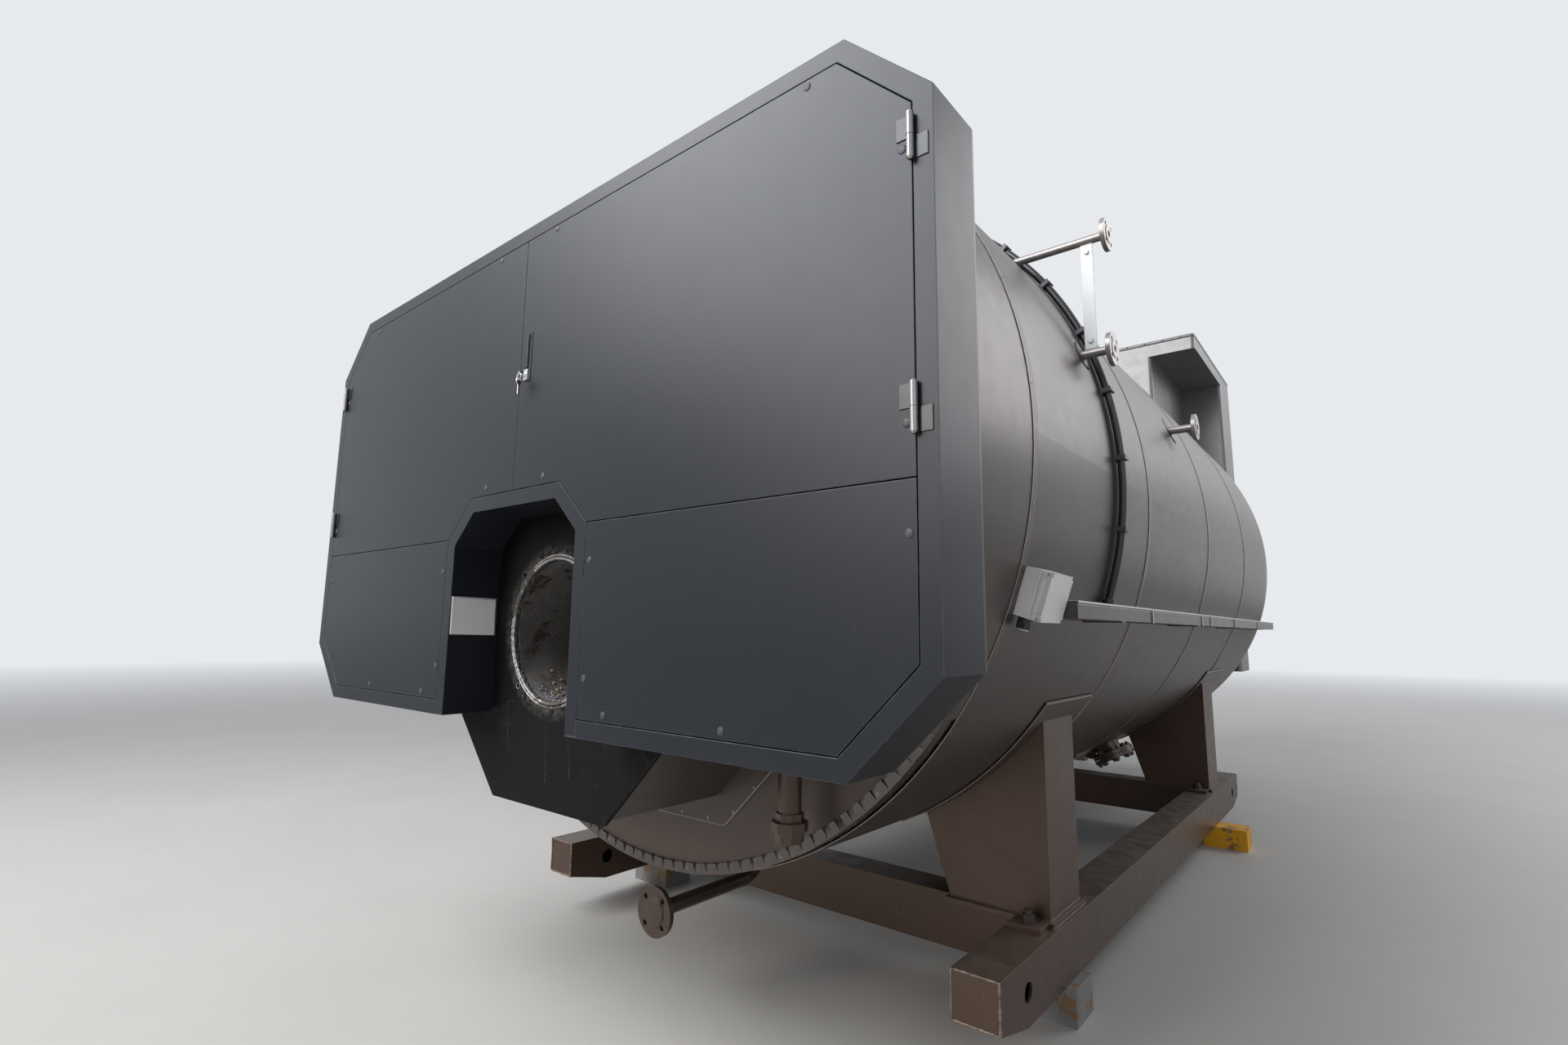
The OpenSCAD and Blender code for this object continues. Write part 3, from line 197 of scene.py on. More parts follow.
def paint(name, color, metallic=0.0, rough=0.5, drift=0.12, grain=900.0, grain_color=0.10,
          bump=0.10, dust=0.15, scratch=0.0, scratch_color=(0.5, 0.5, 0.5), patch=0.0,
          patch_color=(0.3, 0.3, 0.3), vary=0.04, wear_and_highlight=0.0, wear_and_highlight_color=(0.32, 0.30, 0.28),
          wear_and_highlight_least=0.0, edge=EDGE_R, specular=0.5, behind=None, halo=None):
    """Paint with drift, grain, dust, patches, scratches and rounded edges whose lighter colour
    is wear on some finishes and a painted highlight on others.
    """
    material = FINISH[name] = bpy.data.materials.new(name)
    material.use_nodes = True
    tree = material.node_tree
    shader = tree.nodes["Principled BSDF"]
    coords = add(tree, "ShaderNodeTexCoord").outputs["Object"]
    broad = noise(tree, coords, 1.3, 5.0, 0.6)
    middle = noise(tree, coords, 17.0, 4.0, 0.6)
    fine = noise(tree, coords, grain, 2.0, 0.6)
    darker = [c * (1 - drift) for c in color]
    lighter = [min(1.0, c * (1 + drift)) for c in color]
    base = mix_color(tree, spread(tree, broad, 0.3, 0.7, 0.0, 1.0), darker, lighter)
    if behind:
        first, last, other = behind
        along = add(tree, "ShaderNodeSeparateXYZ", {0: coords}).outputs["Y"]
        base = mix_color(tree, spread(tree, along, first, last, 0.0, 1.0), base, other)
    grained = [min(1.0, c * (1 + 6 * grain_color) + 0.02 * grain_color) for c in color]
    base = mix_color(tree, spread(tree, fine, 0.55, 0.75, 0.0, grain_color), base, grained)
    gloss = spread(tree, middle, 0.3, 0.7, rough - vary, rough + vary)
    if patch:
        mask = spread(tree, noise(tree, coords, 9.0, 8.0, 0.7, 0.6), 0.62 - 0.14 * patch,
                      0.66 - 0.14 * patch, 0.0, 1.0)
        base = mix_color(tree, mask, base, patch_color)
    if halo:
        centre, inner, outer, haze = halo
        away = vector_calc(tree, "SUBTRACT", coords, centre)[0]
        away = vector_calc(tree, "MULTIPLY", away, (1.0, 0.0, 1.0))[0]
        away = vector_calc(tree, "LENGTH", away)["Value"]
        mask = product(tree, spread(tree, away, inner, outer, 1.0, 0.0),
                       spread(tree, noise(tree, coords, 45.0, 6.0, 0.7), 0.42, 0.62, 0.0, 0.8))
        base = mix_color(tree, mask, base, haze)
    if scratch:
        stretched = add(tree, "ShaderNodeMapping", {
            "Vector": coords, "Scale": (40.0, 40.0, 3.0), "Rotation": (0.5, 0.4, 0.9)})
        lines = noise(tree, stretched.outputs[0], 5.0, 6.0, 0.5, 0.4)
        mask = product(tree, spread(tree, lines, 0.66, 0.70, 0.0, scratch),
                       spread(tree, middle, 0.45, 0.60, 0.0, 1.0))
        base = mix_color(tree, mask, base, scratch_color)
    flat = add(tree, "ShaderNodeNewGeometry").outputs["Normal"]
    if dust:
        upward = add(tree, "ShaderNodeSeparateXYZ", {0: flat}).outputs["Z"]
        lying = product(tree, spread(tree, upward, 0.2, 1.0, 0.0, dust),
                        spread(tree, middle, 0.3, 0.7, 0.5, 1.0))
        base = mix_color(tree, lying, base, DUST)
        gloss = calc(tree, "ADD", gloss, lying)
    rounded = add(tree, "ShaderNodeBevel", {"Radius": edge}, samples=4).outputs[0]
    # Edges found by the bevel normal get a lighter colour: worn paint on the skid, pipes and
    # plates, a painted highlight along the edges of the casing, the lock lever and the pleated
    # band.
    if wear_and_highlight:
        same = vector_calc(tree, "DOT_PRODUCT", rounded, flat)["Value"]
        mask = product(tree, spread(tree, same, 0.98, 0.85, 0.0, wear_and_highlight),
                       spread(tree, middle, 0.45, 0.60, wear_and_highlight_least, 1.0))
        base = mix_color(tree, mask, base, wear_and_highlight_color)
    tree.links.new(base, shader.inputs["Base Color"])
    tree.links.new(gloss, shader.inputs["Roughness"])
    shader.inputs["Metallic"].default_value = metallic
    shader.inputs["Specular IOR Level"].default_value = specular
    height = add(tree, "ShaderNodeBump", {
        "Height": fine, "Strength": bump, "Distance": 0.001,
        "Normal": rounded}).outputs["Normal"]
    tree.links.new(height, shader.inputs["Normal"])
    return material


# %% [markdown]
# Each material slot of the record gets its finish. The casing is a charcoal powder coat
# with a fine metallic sparkle, the cladding a satin taupe sheet, the skid a browner paint
# sprayed by hand, and the burner plate a matt black that heat and handling have marked.
# %% Finishes of the slots
paint("skid_paint", (0.080, 0.050, 0.035), 0.45, 0.36, grain=320.0, bump=0.14, dust=0.22,
      scratch=0.35, wear_and_highlight=0.6, scratch_color=(0.24, 0.20, 0.17))
paint("packing_block", (0.20, 0.205, 0.21), 0.3, 0.50, 0.15, grain=260.0, bump=0.3, dust=0.10,
      patch=0.60, wear_and_highlight=0.8, patch_color=(0.24, 0.14, 0.07), scratch=0.6,
      scratch_color=(0.45, 0.44, 0.42), behind=(-0.1, 0.1, (0.80, 0.40, 0.010)))
paint("bolt_steel", (0.07, 0.06, 0.055), 0.8, 0.42, grain=600.0, bump=0.2, patch=0.3,
      patch_color=(0.12, 0.07, 0.04))
paint("cladding_sheet", (0.082, 0.070, 0.065), 0.55, 0.35, 0.05, grain=1400.0,
      grain_color=0.14, bump=0.04, dust=0.10, vary=0.02, wear_and_highlight=0.3, specular=0.38)
# The pleated band's pale edge colour is a painted glint on its pleats.
paint("band_sheet", (0.105, 0.092, 0.084), 0.80, 0.28, 0.10, grain=1100.0, grain_color=0.06,
      bump=0.02, dust=0.04, scratch=0.15, wear_and_highlight=0.55, wear_and_highlight_color=(0.50, 0.47, 0.44))
paint("end_plate_paint", (0.085, 0.066, 0.056), 0.45, 0.47, 0.10, grain=700.0, bump=0.08,
      dust=0.12)
paint("drum_steel", (0.10, 0.095, 0.09), 0.7, 0.6, 0.2, grain=300.0, bump=0.3, patch=0.5,
      patch_color=(0.12, 0.07, 0.045))
paint("mineral_wool", (0.42, 0.36, 0.22), 0.0, 0.95, 0.25, grain=240.0, grain_color=0.3,
      bump=0.8, dust=0.0)
paint("black_plate", (0.0032, 0.0030, 0.0032), 0.0, 0.66, 0.3, grain=420.0, bump=0.2,
      dust=0.03, scratch=0.30, scratch_color=(0.09, 0.085, 0.08), patch=0.10,
      patch_color=(0.012, 0.011, 0.010), wear_and_highlight=0.6, specular=0.12,
      halo=(shop(0.0, PLATE_Y, BURNER_Z), 0.212, 0.256, (0.11, 0.107, 0.10)))
paint("refractory", (0.105, 0.098, 0.092), 0.0, 0.95, 0.35, grain=160.0, grain_color=0.4,
      bump=0.9, dust=0.12, patch=0.28, patch_color=(0.040, 0.030, 0.024))
# The casing's pale, even edge colour is a painted highlight along its folded edges.
paint("casing_paint", (0.0154, 0.0182, 0.0238), 0.20, 0.34, 0.08, grain=1500.0,
      grain_color=0.35, bump=0.10, dust=0.06, scratch=0.06, scratch_color=(0.10, 0.10, 0.10),
      vary=0.015, wear_and_highlight=0.6, wear_and_highlight_color=(0.26, 0.27, 0.30), wear_and_highlight_least=0.5, edge=0.0026,
      specular=0.24)
# The lever's pale edge colour is a painted highlight on its rounded edges.
paint("lock_chrome", (0.030, 0.032, 0.038), 0.5, 0.16, 0.1, grain=900.0, bump=0.01, dust=0.05,
      wear_and_highlight=1.0, wear_and_highlight_least=0.8, wear_and_highlight_color=(0.32, 0.33, 0.35), vary=0.02)
paint("pipe_steel", (0.30, 0.28, 0.275), 0.60, 0.40, 0.05, grain=500.0, grain_color=0.02,
      bump=0.005, dust=0.02, wear_and_highlight=0.3, wear_and_highlight_color=(0.48, 0.46, 0.45), vary=0.02)
paint("grey_plastic", (0.74, 0.73, 0.73), 0.0, 0.42, 0.03, grain=500.0, grain_color=0.03,
      bump=0.05, dust=0.05)
paint("conduit_black", (0.026, 0.027, 0.030), 0.0, 0.34, 0.15, grain=500.0, bump=0.05,
      dust=0.15)
paint("economizer_sheet", (0.190, 0.188, 0.190), 0.40, 0.38, 0.05, grain=900.0,
      grain_color=0.05, bump=0.05, dust=0.10)
slots_painted = len(FINISH)

# %% [markdown]
# Some surfaces differ from their slot, and small added pieces need finishes of their own:
# bright and machined steel, weld beads, cut sheet edges, card, rubble and painted pipes.
# The hinge barrels are painted a light grey as a painted sheen, in place of the casing paint's
# reflection; their leaves keep the casing colour, so the finish changes just behind the
# barrels.
# %% Finishes of single pieces
paint("chrome", (0.72, 0.72, 0.71), 1.0, 0.13, 0.03, grain=500.0, grain_color=0.02, bump=0.02,
      dust=0.0, vary=0.02)
paint("machined_steel", (0.42, 0.39, 0.36), 1.0, 0.32, 0.10, grain=600.0, bump=0.10,
      dust=0.08, patch=0.12, patch_color=(0.20, 0.13, 0.09))
paint("weld_metal", (0.060, 0.046, 0.038), 0.4, 0.42, 0.2, grain=350.0, grain_color=0.2,
      bump=0.4, dust=0.15)
paint("weld_tan", (0.20, 0.155, 0.125), 0.4, 0.40, 0.3, grain=350.0, grain_color=0.2,
      bump=0.4, dust=0.10)
paint("weld_pale", (0.30, 0.29, 0.28), 0.40, 0.40, 0.4, grain=350.0, grain_color=0.1,
      bump=0.6, dust=0.0, patch=0.7, patch_color=(0.09, 0.083, 0.078))
paint("scribed_line", (0.13, 0.125, 0.12), 0.4, 0.5, 0.4, grain=350.0, bump=0.1, dust=0.0,
      patch=0.6, patch_color=(0.03, 0.028, 0.026))
paint("weld_crust", (0.030, 0.034, 0.045), 0.4, 0.40, 0.5, grain=300.0, grain_color=0.5,
      bump=0.8, dust=0.0, patch=0.4, patch_color=(0.10, 0.085, 0.07))
paint("cut_edge", (0.40, 0.36, 0.33), 0.70, 0.34, 0.1, grain=600.0, bump=0.02, dust=0.05)
paint("white_card", (0.80, 0.80, 0.79), 0.0, 0.6, 0.04, grain=700.0, grain_color=0.02,
      bump=0.06, dust=0.0)
paint("white_paint", (0.72, 0.73, 0.74), 0.0, 0.40, 0.02, grain=500.0, grain_color=0.01,
      bump=0.01, dust=0.03)
paint("rubble_stone", (0.16, 0.165, 0.21), 0.0, 0.85, 0.5, grain=300.0, grain_color=0.3,
      bump=0.8, dust=0.0, patch=0.75, patch_color=(0.42, 0.29, 0.19))
paint("painted_pipe", (0.062, 0.043, 0.034), 0.50, 0.30, grain=400.0, bump=0.05, dust=0.10,
      scratch=0.2, wear_and_highlight=0.8, scratch_color=(0.24, 0.20, 0.17))
LEAF_FRONT = shop(0.0, -2.6, 0.0).y
# Light grey on the barrels is painted sheen of the casing paint; the leaves behind them get the
# casing colour.
paint("hinge_painted_sheen", (0.26, 0.26, 0.27), 0.55, 0.30, 0.06, grain=900.0, bump=0.05, dust=0.05,
      wear_and_highlight=0.5, behind=(LEAF_FRONT - 0.0004, LEAF_FRONT, (0.0190, 0.0210, 0.0250)))
# The caps' lighter grey than the casing is a painted sheen for their reflection.
paint("cap_painted_sheen", (0.048, 0.050, 0.057), 0.0, 0.48, 0.04, grain=900.0, bump=0.02, dust=0.04,
      specular=0.3)
paint("clip_plastic", (0.060, 0.064, 0.076), 0.0, 0.42, 0.1, grain=600.0, bump=0.05,
      dust=0.12)
OWN_FINISH = {
    "front_blowdown": "painted_pipe", "rear_blowdown": "painted_pipe",
    "drain_pipes": "painted_pipe", "hand_hole": "painted_pipe",
    "right_door_hinges": "hinge_painted_sheen", "left_door_hinges": "hinge_painted_sheen",
    "hinge_pins": "hinge_painted_sheen", "conduit_clips": "clip_plastic",
    "smoke_box_skirt": "end_plate_paint"}

slot_of = {part["node"]: part["material_slot"] for part in frame["record"]["subparts"]}
for name, node in frame["nodes"].items():
    node.data.materials.clear()
    node.data.materials.append(FINISH[OWN_FINISH.get(name, slot_of[name])])
print(slots_painted, "slot finishes and", len(FINISH) - slots_painted, "own ones on",
      len(frame["nodes"]), "nodes")

# %% [markdown]
# Geometry Nodes set what repeats. Screws are the clearest case: one head is modelled once
# in the tree and copied to every point of a small mesh, turned by a direction stored on
# each point. The result is made real and kept as a plain mesh that rides on its body.
# %% Tree helpers


def geo(tree, kind, fill=None, **options):
    """First output of a new geometry node."""
    return add(tree, "GeometryNode" + kind, fill, **options).outputs[0]


def new_tree(name, **inputs):
    """Empty geometry tree with named inputs after the geometry, a material last."""
    tree = bpy.data.node_groups.new(name, "GeometryNodeTree")
    face = tree.interface
    face.new_socket("Geometry", in_out="INPUT", socket_type="NodeSocketGeometry")
    for label, kind in (*inputs.items(), ("Material", "Material")):
        face.new_socket(label, in_out="INPUT", socket_type="NodeSocket" + kind)
    face.new_socket("Geometry", in_out="OUTPUT", socket_type="NodeSocketGeometry")
    return tree, add(tree, "NodeGroupInput").outputs


def close_tree(tree, given, geometry, smooth=True):
    """Ends a tree with real geometry that carries the material it was given."""
    real = geo(tree, "RealizeInstances", {"Geometry": geometry})
    if smooth:
        real = geo(tree, "SetShadeSmooth", {"Geometry": real})
    done = geo(tree, "SetMaterial", {"Geometry": real, "Material": given["Material"]})
    add(tree, "NodeGroupOutput", {"Geometry": done})


def copies_on_points(tree, points, shape):
    """Shape copied to each point and turned by the direction stored there."""
    facing = geo(tree, "InputNamedAttribute", {"Name": "facing"}, data_type="FLOAT_VECTOR")
    turned = add(tree, "FunctionNodeAlignRotationToVector", {"Vector": facing}, axis="Z")
    return geo(tree, "InstanceOnPoints", {
        "Points": points, "Instance": shape, "Rotation": turned.outputs[0]})


def moved(tree, geometry, scale=(1.0, 1.0, 1.0), at=(0.0, 0.0, 0.0)):
    """Geometry scaled and put in its place."""
    return geo(tree, "Transform", {"Geometry": geometry, "Scale": scale, "Translation": at})


def joined(tree, *parts):
    """Several geometries in one."""
    node = add(tree, "GeometryNodeJoinGeometry")
    for part in reversed(parts):
        tree.links.new(part, node.inputs[0])
    return node.outputs[0]


def vector(tree, x, y, z):
    """Vector of three values or sockets."""
    return add(tree, "ShaderNodeCombineXYZ", {0: x, 1: y, 2: z}).outputs[0]


def run_tree(name, mesh, tree, values, slot, finish=None, body="boiler"):
    """Runs a tree on a mesh and keeps the result as a plain piece."""
    source = new_object(name + "_source", mesh)
    modifier = source.modifiers.new("tree", "NODES")
    modifier.node_group = tree
    values["Material"] = FINISH[finish or slot]
    for item in tree.interface.items_tree:
        if item.in_out == "INPUT" and item.name in values:
            modifier[item.identifier] = values[item.name]
    bpy.context.view_layer.update()
    shown = source.evaluated_get(bpy.context.evaluated_depsgraph_get())
    plain = bpy.data.meshes.new_from_object(shown)
    bpy.data.objects.remove(source)
    piece = new_object(name, plain)
    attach(piece, body)
    print(name, len(plain.polygons), "faces")
    return piece


def point_mesh(name, places):
    """Mesh of loose points that each store the direction they face."""
    mesh = bpy.data.meshes.new(name)
    mesh.from_pydata([tuple(place) for place, _ in places], [], [])
    facing = mesh.attributes.new("facing", "FLOAT_VECTOR", "POINT")
    facing.data.foreach_set("vector", [c for _, out in places for c in out])
    return mesh


def copy_tree(tree, given, shape, smooth):
    """Ends a tree with a shape of unit radius, sized and copied to each point."""
    half_d = product(tree, given["Diameter"], 0.5)
    shape = moved(tree, shape, vector(tree, half_d, half_d, given["Height"]))
    close_tree(tree, given, copies_on_points(tree, given["Geometry"], shape), smooth)


# %% [markdown]
# The head of a screw is a low dome with a cross cut into it. The dome is a flattened
# sphere without its lower half, and the cross is two thin bars taken away from it.
# %% Screw tree
screw_tree, given = new_tree("screws", Diameter="Float", Height="Float")
ball = geo(screw_tree, "MeshUVSphere", {"Segments": 14, "Rings": 8, "Radius": 1.0})
cutters = [moved(screw_tree, geo(screw_tree, "MeshCube", {"Size": size}), at=(0.0, 0.0, height))
           for size, height in (((3.0, 3.0, 2.0), -1.0), ((1.1, 0.16, 0.8), 1.0),
                                ((0.16, 1.1, 0.8), 1.0))]
dome = geo(screw_tree, "MeshBoolean", {0: ball, 1: joined(screw_tree, *cutters)},
           operation="DIFFERENCE")
copy_tree(screw_tree, given, dome, smooth=False)


def screws(name, places, diameter=9.0, height=3.0, finish="pipe_steel", slot="pipe_steel"):
    """Screw heads at the given places."""
    run_tree(name, point_mesh(name, places), screw_tree, {
        "Diameter": diameter / 1000, "Height": height / 1000}, slot, finish)


# %% [markdown]
# The screws of the doors and lower panels are hidden under smooth round caps. Their lighter
# grey is a painted sheen for the gloss of the caps. A cap is a flattened ball sunk by half into
# the sheet, so its tree needs no cutting. The caps sit a fixed distance inside the edges,
# mirrored on both sides of the centre.
# %% Casing caps
CAP_D, CAP_H = 18.0, 2.2
PANEL_CAPS = ((367.0, 1226.0), (367.0, 946.0), (446.0, 868.0), (818.0, 868.0),
              (1241.0, 1226.0))
DOOR_CAPS = ((145.0, 2162.0), (1020.0, 2157.0), (145.0, 1460.0), (1237.0, 1923.0),
             (1239.0, 1416.0))

cap_tree, given = new_tree("caps", Diameter="Float", Height="Float")
ball = geo(cap_tree, "MeshUVSphere", {"Segments": 24, "Rings": 10, "Radius": 1.0})
copy_tree(cap_tree, given, ball, smooth=True)


def caps(name, spots, sides, body):
    """Caps on the casing front, on the sides that are asked for."""
    places = [(shop(side * x, 0.0, z), FRONT) for side in sides for x, z in spots]
    run_tree(name, point_mesh(name, places), cap_tree, {
        "Diameter": CAP_D / 1000, "Height": CAP_H / 1000}, "casing_paint", "cap_painted_sheen", body)


caps("panel_caps", PANEL_CAPS, (-1, 1), "boiler")
for side, body in ((1, "right_door"), (-1, "left_door")):
    caps(body + "_caps", DOOR_CAPS, (side,), body)

# %% [markdown]
# The cladding sheets are fixed by small self-tapping screws through their laps. They run
# round the shell in each ring lap, along the lengthwise laps low on both sides and in the
# valleys of the pleated flange. The flashings and the collar get theirs further down.
# %% Cladding screws
RING_START, RING_LAST, RING_PITCH, LENGTH_PITCH = -92.4, 267.0, 14.0, 130.0
SEAM_ANGLE = 25.7
LAP_W = 30.0
FLASHED = [(y - FLASHING_END, y + SADDLE_LEN + FLASHING_END) for y in SADDLES]


def flashed(y, below_angle):
    """True where a place on the shell lies under a flashing."""
    return 20.0 < below_angle < 60.0 and any(a < y < b for a, b in FLASHED)


lap_places = []
for y0 in SHEET_STARTS:
    y = y0 - LAP_W / 2
    angle = RING_START + RING_PITCH
    while angle < RING_LAST:
        from_down = abs((angle - DOWN_ANGLE + 180.0) % 360.0 - 180.0)
        if not flashed(y, from_down):
            lap_places.append(on_shell(angle, y, SEAT + LAP_RISE))
        angle += RING_PITCH
y = SHEET_STARTS[0] + LENGTH_PITCH * 0.78
while y < SHEETS_END - LAP_W:
    if not flashed(y, SEAM_ANGLE) and all(abs(y - s + LAP_W / 2) > LAP_W for s in SHEET_STARTS):
        for side in (-1, 1):
            lap_places.append(on_shell(DOWN_ANGLE + side * (SEAM_ANGLE + 0.7), y, LAP_RISE))
    y += LENGTH_PITCH
screws("cladding_screws", lap_places)

BAND_SCREWS, BAND_FIRST, BAND_STEP = 20, -83.25, 18.0
band_places = []
for step in range(BAND_SCREWS):
    a = math.radians(BAND_FIRST + BAND_STEP * step)
    x, z = BAND_R * math.cos(a), AXIS_H + BAND_R * math.sin(a)
    band_places.append((shop(x, BAND_FRONT, z), FRONT))
    band_places.append((shop(x, BAND_REAR, z), -FRONT))
screws("band_screws", band_places)

# %% [markdown]
# The conduit is a ribbed hose. A path along the arc of the CAD hose is swept with a round
# profile whose radius swells and shrinks from one station to the next, so each pair of
# stations makes one rib. It stands in the place of the plain CAD hose. The same sweep
# serves the weld beads further down.
# %% Ribbed hose tree


def swept(tree, path, pitch, sides, radius):
    """Closed tube along a path, its radius given anew at each station."""
    path = geo(tree, "MeshToCurve", {"Mesh": path})
    path = geo(tree, "ResampleCurve", {"Curve": path, "Length": pitch}, mode="LENGTH")
    profile = geo(tree, "CurvePrimitiveCircle", {"Resolution": sides, "Radius": 1.0})
    return geo(tree, "CurveToMesh", {
        "Curve": path, "Profile Curve": profile, "Scale": radius, "Fill Caps": True})


hose_tree, given = new_tree("ribbed_hose", Radius="Float", Depth="Float", Pitch="Float")
index = geo(hose_tree, "InputIndex")
odd = calc(hose_tree, "MODULO", index, 2.0)
swell = calc(hose_tree, "SUBTRACT", given["Radius"], product(hose_tree, odd, given["Depth"]))
close_tree(hose_tree, given, swept(hose_tree, given["Geometry"],
                                   product(hose_tree, given["Pitch"], 0.5), 14, swell))

HOSE_Y, HOSE_D, STRAP_T = 1322.0, 26.0, 3.0
HOSE_END, HOSE_STATIONS = 86.0, 121
RIB_DEPTH, RIB_PITCH = 0.0022, 0.0075
hose_start = -math.degrees(math.asin((AXIS_H - TRAY_TOP) / CLAD_R)) + 0.8
hose_points = [on_shell(hose_start + (HOSE_END - hose_start) * i / (HOSE_STATIONS - 1),
                        HOSE_Y, SEAT + STRAP_T + HOSE_D / 2)[0] for i in range(HOSE_STATIONS)]


def paths_mesh(name, paths):
    """Mesh of open or closed paths, each a list of points and a closed mark."""
    points, edges = [], []
    for line, closed in paths:
        first = len(points)
        points += [tuple(p) for p in line]
        edges += [(first + i, first + i + 1) for i in range(len(line) - 1)]
        if closed:
            edges.append((len(points) - 1, first))
    mesh = bpy.data.meshes.new(name)
    mesh.from_pydata(points, edges, [])
    return mesh


hose = run_tree("ribbed_conduit", paths_mesh("hose_path", [(hose_points, False)]), hose_tree, {
    "Radius": HOSE_D / 2000, "Depth": RIB_DEPTH, "Pitch": RIB_PITCH}, "conduit_black")
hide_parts("conduit")

# %% [markdown]
# Small solid pieces are drawn in mesh code. These helpers add blocks, rods and skins
# through rows of points to a mesh, and turn a finished mesh into a piece with rounded edges
# that rides on its body.
# %% Mesh helpers


def block(bm, low, high):
    """Block between two corners given in workshop millimetres."""
    a, b = shop(*low), shop(*high)
    made = bmesh.ops.create_cube(bm, size=1.0)["verts"]
    for v in made:
        v.co = Vector([(a[i] + b[i]) / 2 + v.co[i] * (b[i] - a[i]) for i in range(3)])


def rod(bm, start, end, radius, segments=24, end_radius=None):
    """Closed rod between two points in metres, its radius in millimetres."""
    along = end - start
    spin = along.to_track_quat("Z", "Y").to_matrix().to_4x4()
    place = Matrix.Translation((start + end) / 2) @ spin
    bmesh.ops.create_cone(
        bm, cap_ends=True, segments=segments, radius1=radius / 1000,
        radius2=(radius if end_radius is None else end_radius) / 1000,
        depth=along.length, matrix=place)


def stack(bm, base, way, parts):
    """Rods in one line: their starts and ends in millimetres from a point, and shapes."""
    for start, end, *shape in parts:
        rod(bm, base + way * (start / 1000), base + way * (end / 1000), *shape)


BOX_FACES = ((0, 1, 3, 2), (4, 6, 7, 5), (0, 4, 5, 1), (2, 3, 7, 6), (0, 2, 6, 4),
             (1, 5, 7, 3))


def eight_corners(bm, corners):
    """Solid between eight corners, listed so that the last direction changes first."""
    v = [bm.verts.new(c) for c in corners]
    for face in BOX_FACES:
        bm.faces.new([v[n] for n in face])


def bridge(bm, a, b, inward=False):
    """Band of faces between two closed rows of points."""
    for i in range(len(a)):
        n = (i + 1) % len(a)
        bm.faces.new((a[i], b[i], b[n], a[n]) if inward else (a[i], a[n], b[n], b[i]))


def closed_skin(bm, rows, inward=False):
    """Skin through rows of points and back to the first row."""
    for a, b in zip(rows, rows[1:] + rows[:1]):
        bridge(bm, a, b, inward)


def ring(bm, centre, axis, major, minor, around=40, section=10):
    """Torus with its sizes in millimetres."""
    spin = axis.to_track_quat("Z", "Y").to_matrix()
    rows = []
    for i in range(around):
        a = 2 * math.pi * i / around
        row = []
        for j in range(section):
            b = 2 * math.pi * j / section
            r = major + minor * math.cos(b)
            local = Vector((r * math.cos(a), r * math.sin(a), minor * math.sin(b))) / 1000
            row.append(bm.verts.new(centre + spin @ local))
        rows.append(row)
    closed_skin(bm, rows, True)


def make(name, bm, slot, bevel=0.0, finish=None, body="boiler"):
    """Piece from a mesh, with its edges rounded by a number of millimetres."""
    bmesh.ops.recalc_face_normals(bm, faces=bm.faces)
    mesh = bpy.data.meshes.new(name)
    bm.to_mesh(mesh)
    bm.free()
    mesh.materials.append(FINISH[finish or slot])
    piece = new_object(name, mesh)
    if bevel:
        rounding = piece.modifiers.new("edges", "BEVEL")
        rounding.width = bevel / 1000
        rounding.segments = 2
        rounding.limit_method = "ANGLE"
        rounding.angle_limit = math.radians(40)
        rounding.harden_normals = True
    for polygon in mesh.polygons:
        polygon.use_smooth = True
    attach(piece, body)
    print(name, len(mesh.polygons), "faces")


# %% [markdown]
# Out of the camera's sight the conduit ends in the head of a sensor on the crown: a short
# stem, a round head with a screwed cap and a gland on its side that takes the hose.
# %% Sensor head on the crown
HEAD_X, STEM_NUT_R, SENSOR_R = 30.0, 20.9, 31.0
HEAD_LOW, HEAD_HIGH, HOSE_RISE = 1226.0, 1276.0, 1238.6
bm = bmesh.new()
stack(bm, shop(HEAD_X, HOSE_Y, AXIS_H), UP, (
    (HEAD_LOW - 4.0, HEAD_LOW + 4.0, STEM_NUT_R, 6), (HEAD_LOW, HEAD_HIGH - 12.0, SENSOR_R, 36),
    (HEAD_HIGH - 10.0, HEAD_HIGH, SENSOR_R + 2.0, 24),
    (HEAD_HIGH - 12.5, HEAD_HIGH - 9.5, SENSOR_R - 2.5, 36)))
make("sensor_head", bm, "pipe_steel", 0.8, "economizer_sheet")
bm = bmesh.new()
for near, far_x, radius, sides in ((50.0, 70.0, 15.5, 6), (69.0, 80.0, 14.0, 24),
                                   (79.0, 94.0, 16.5, 12)):
    rod(bm, shop(near, HOSE_Y, AXIS_H + HOSE_RISE + 2.0),
        shop(far_x, HOSE_Y, AXIS_H + HOSE_RISE + 0.5), radius, sides)
make("sensor_gland", bm, "conduit_black", 0.6)

# %% [markdown]
# Weld seams run wherever plates meet: round the leg feet, the rail ends, the smoke box
# and the burner opening. A bead is a path swept with a round profile whose radius swells
# with a noise, which gives the uneven ripple of hand welding. Half of it is in the steel.
# %% Weld tree
bead_tree, given = new_tree("weld_bead", Radius="Float", Ripple="Float", Pitch="Float")
place = geo(bead_tree, "InputPosition")
change = spread(bead_tree, noise(bead_tree, place, 130.0), 0.3, 0.7,
                calc(bead_tree, "SUBTRACT", 1.0, given["Ripple"]),
                calc(bead_tree, "ADD", 1.0, given["Ripple"]))
close_tree(bead_tree, given, swept(bead_tree, given["Geometry"], given["Pitch"], 7,
                                   product(bead_tree, change, given["Radius"])))


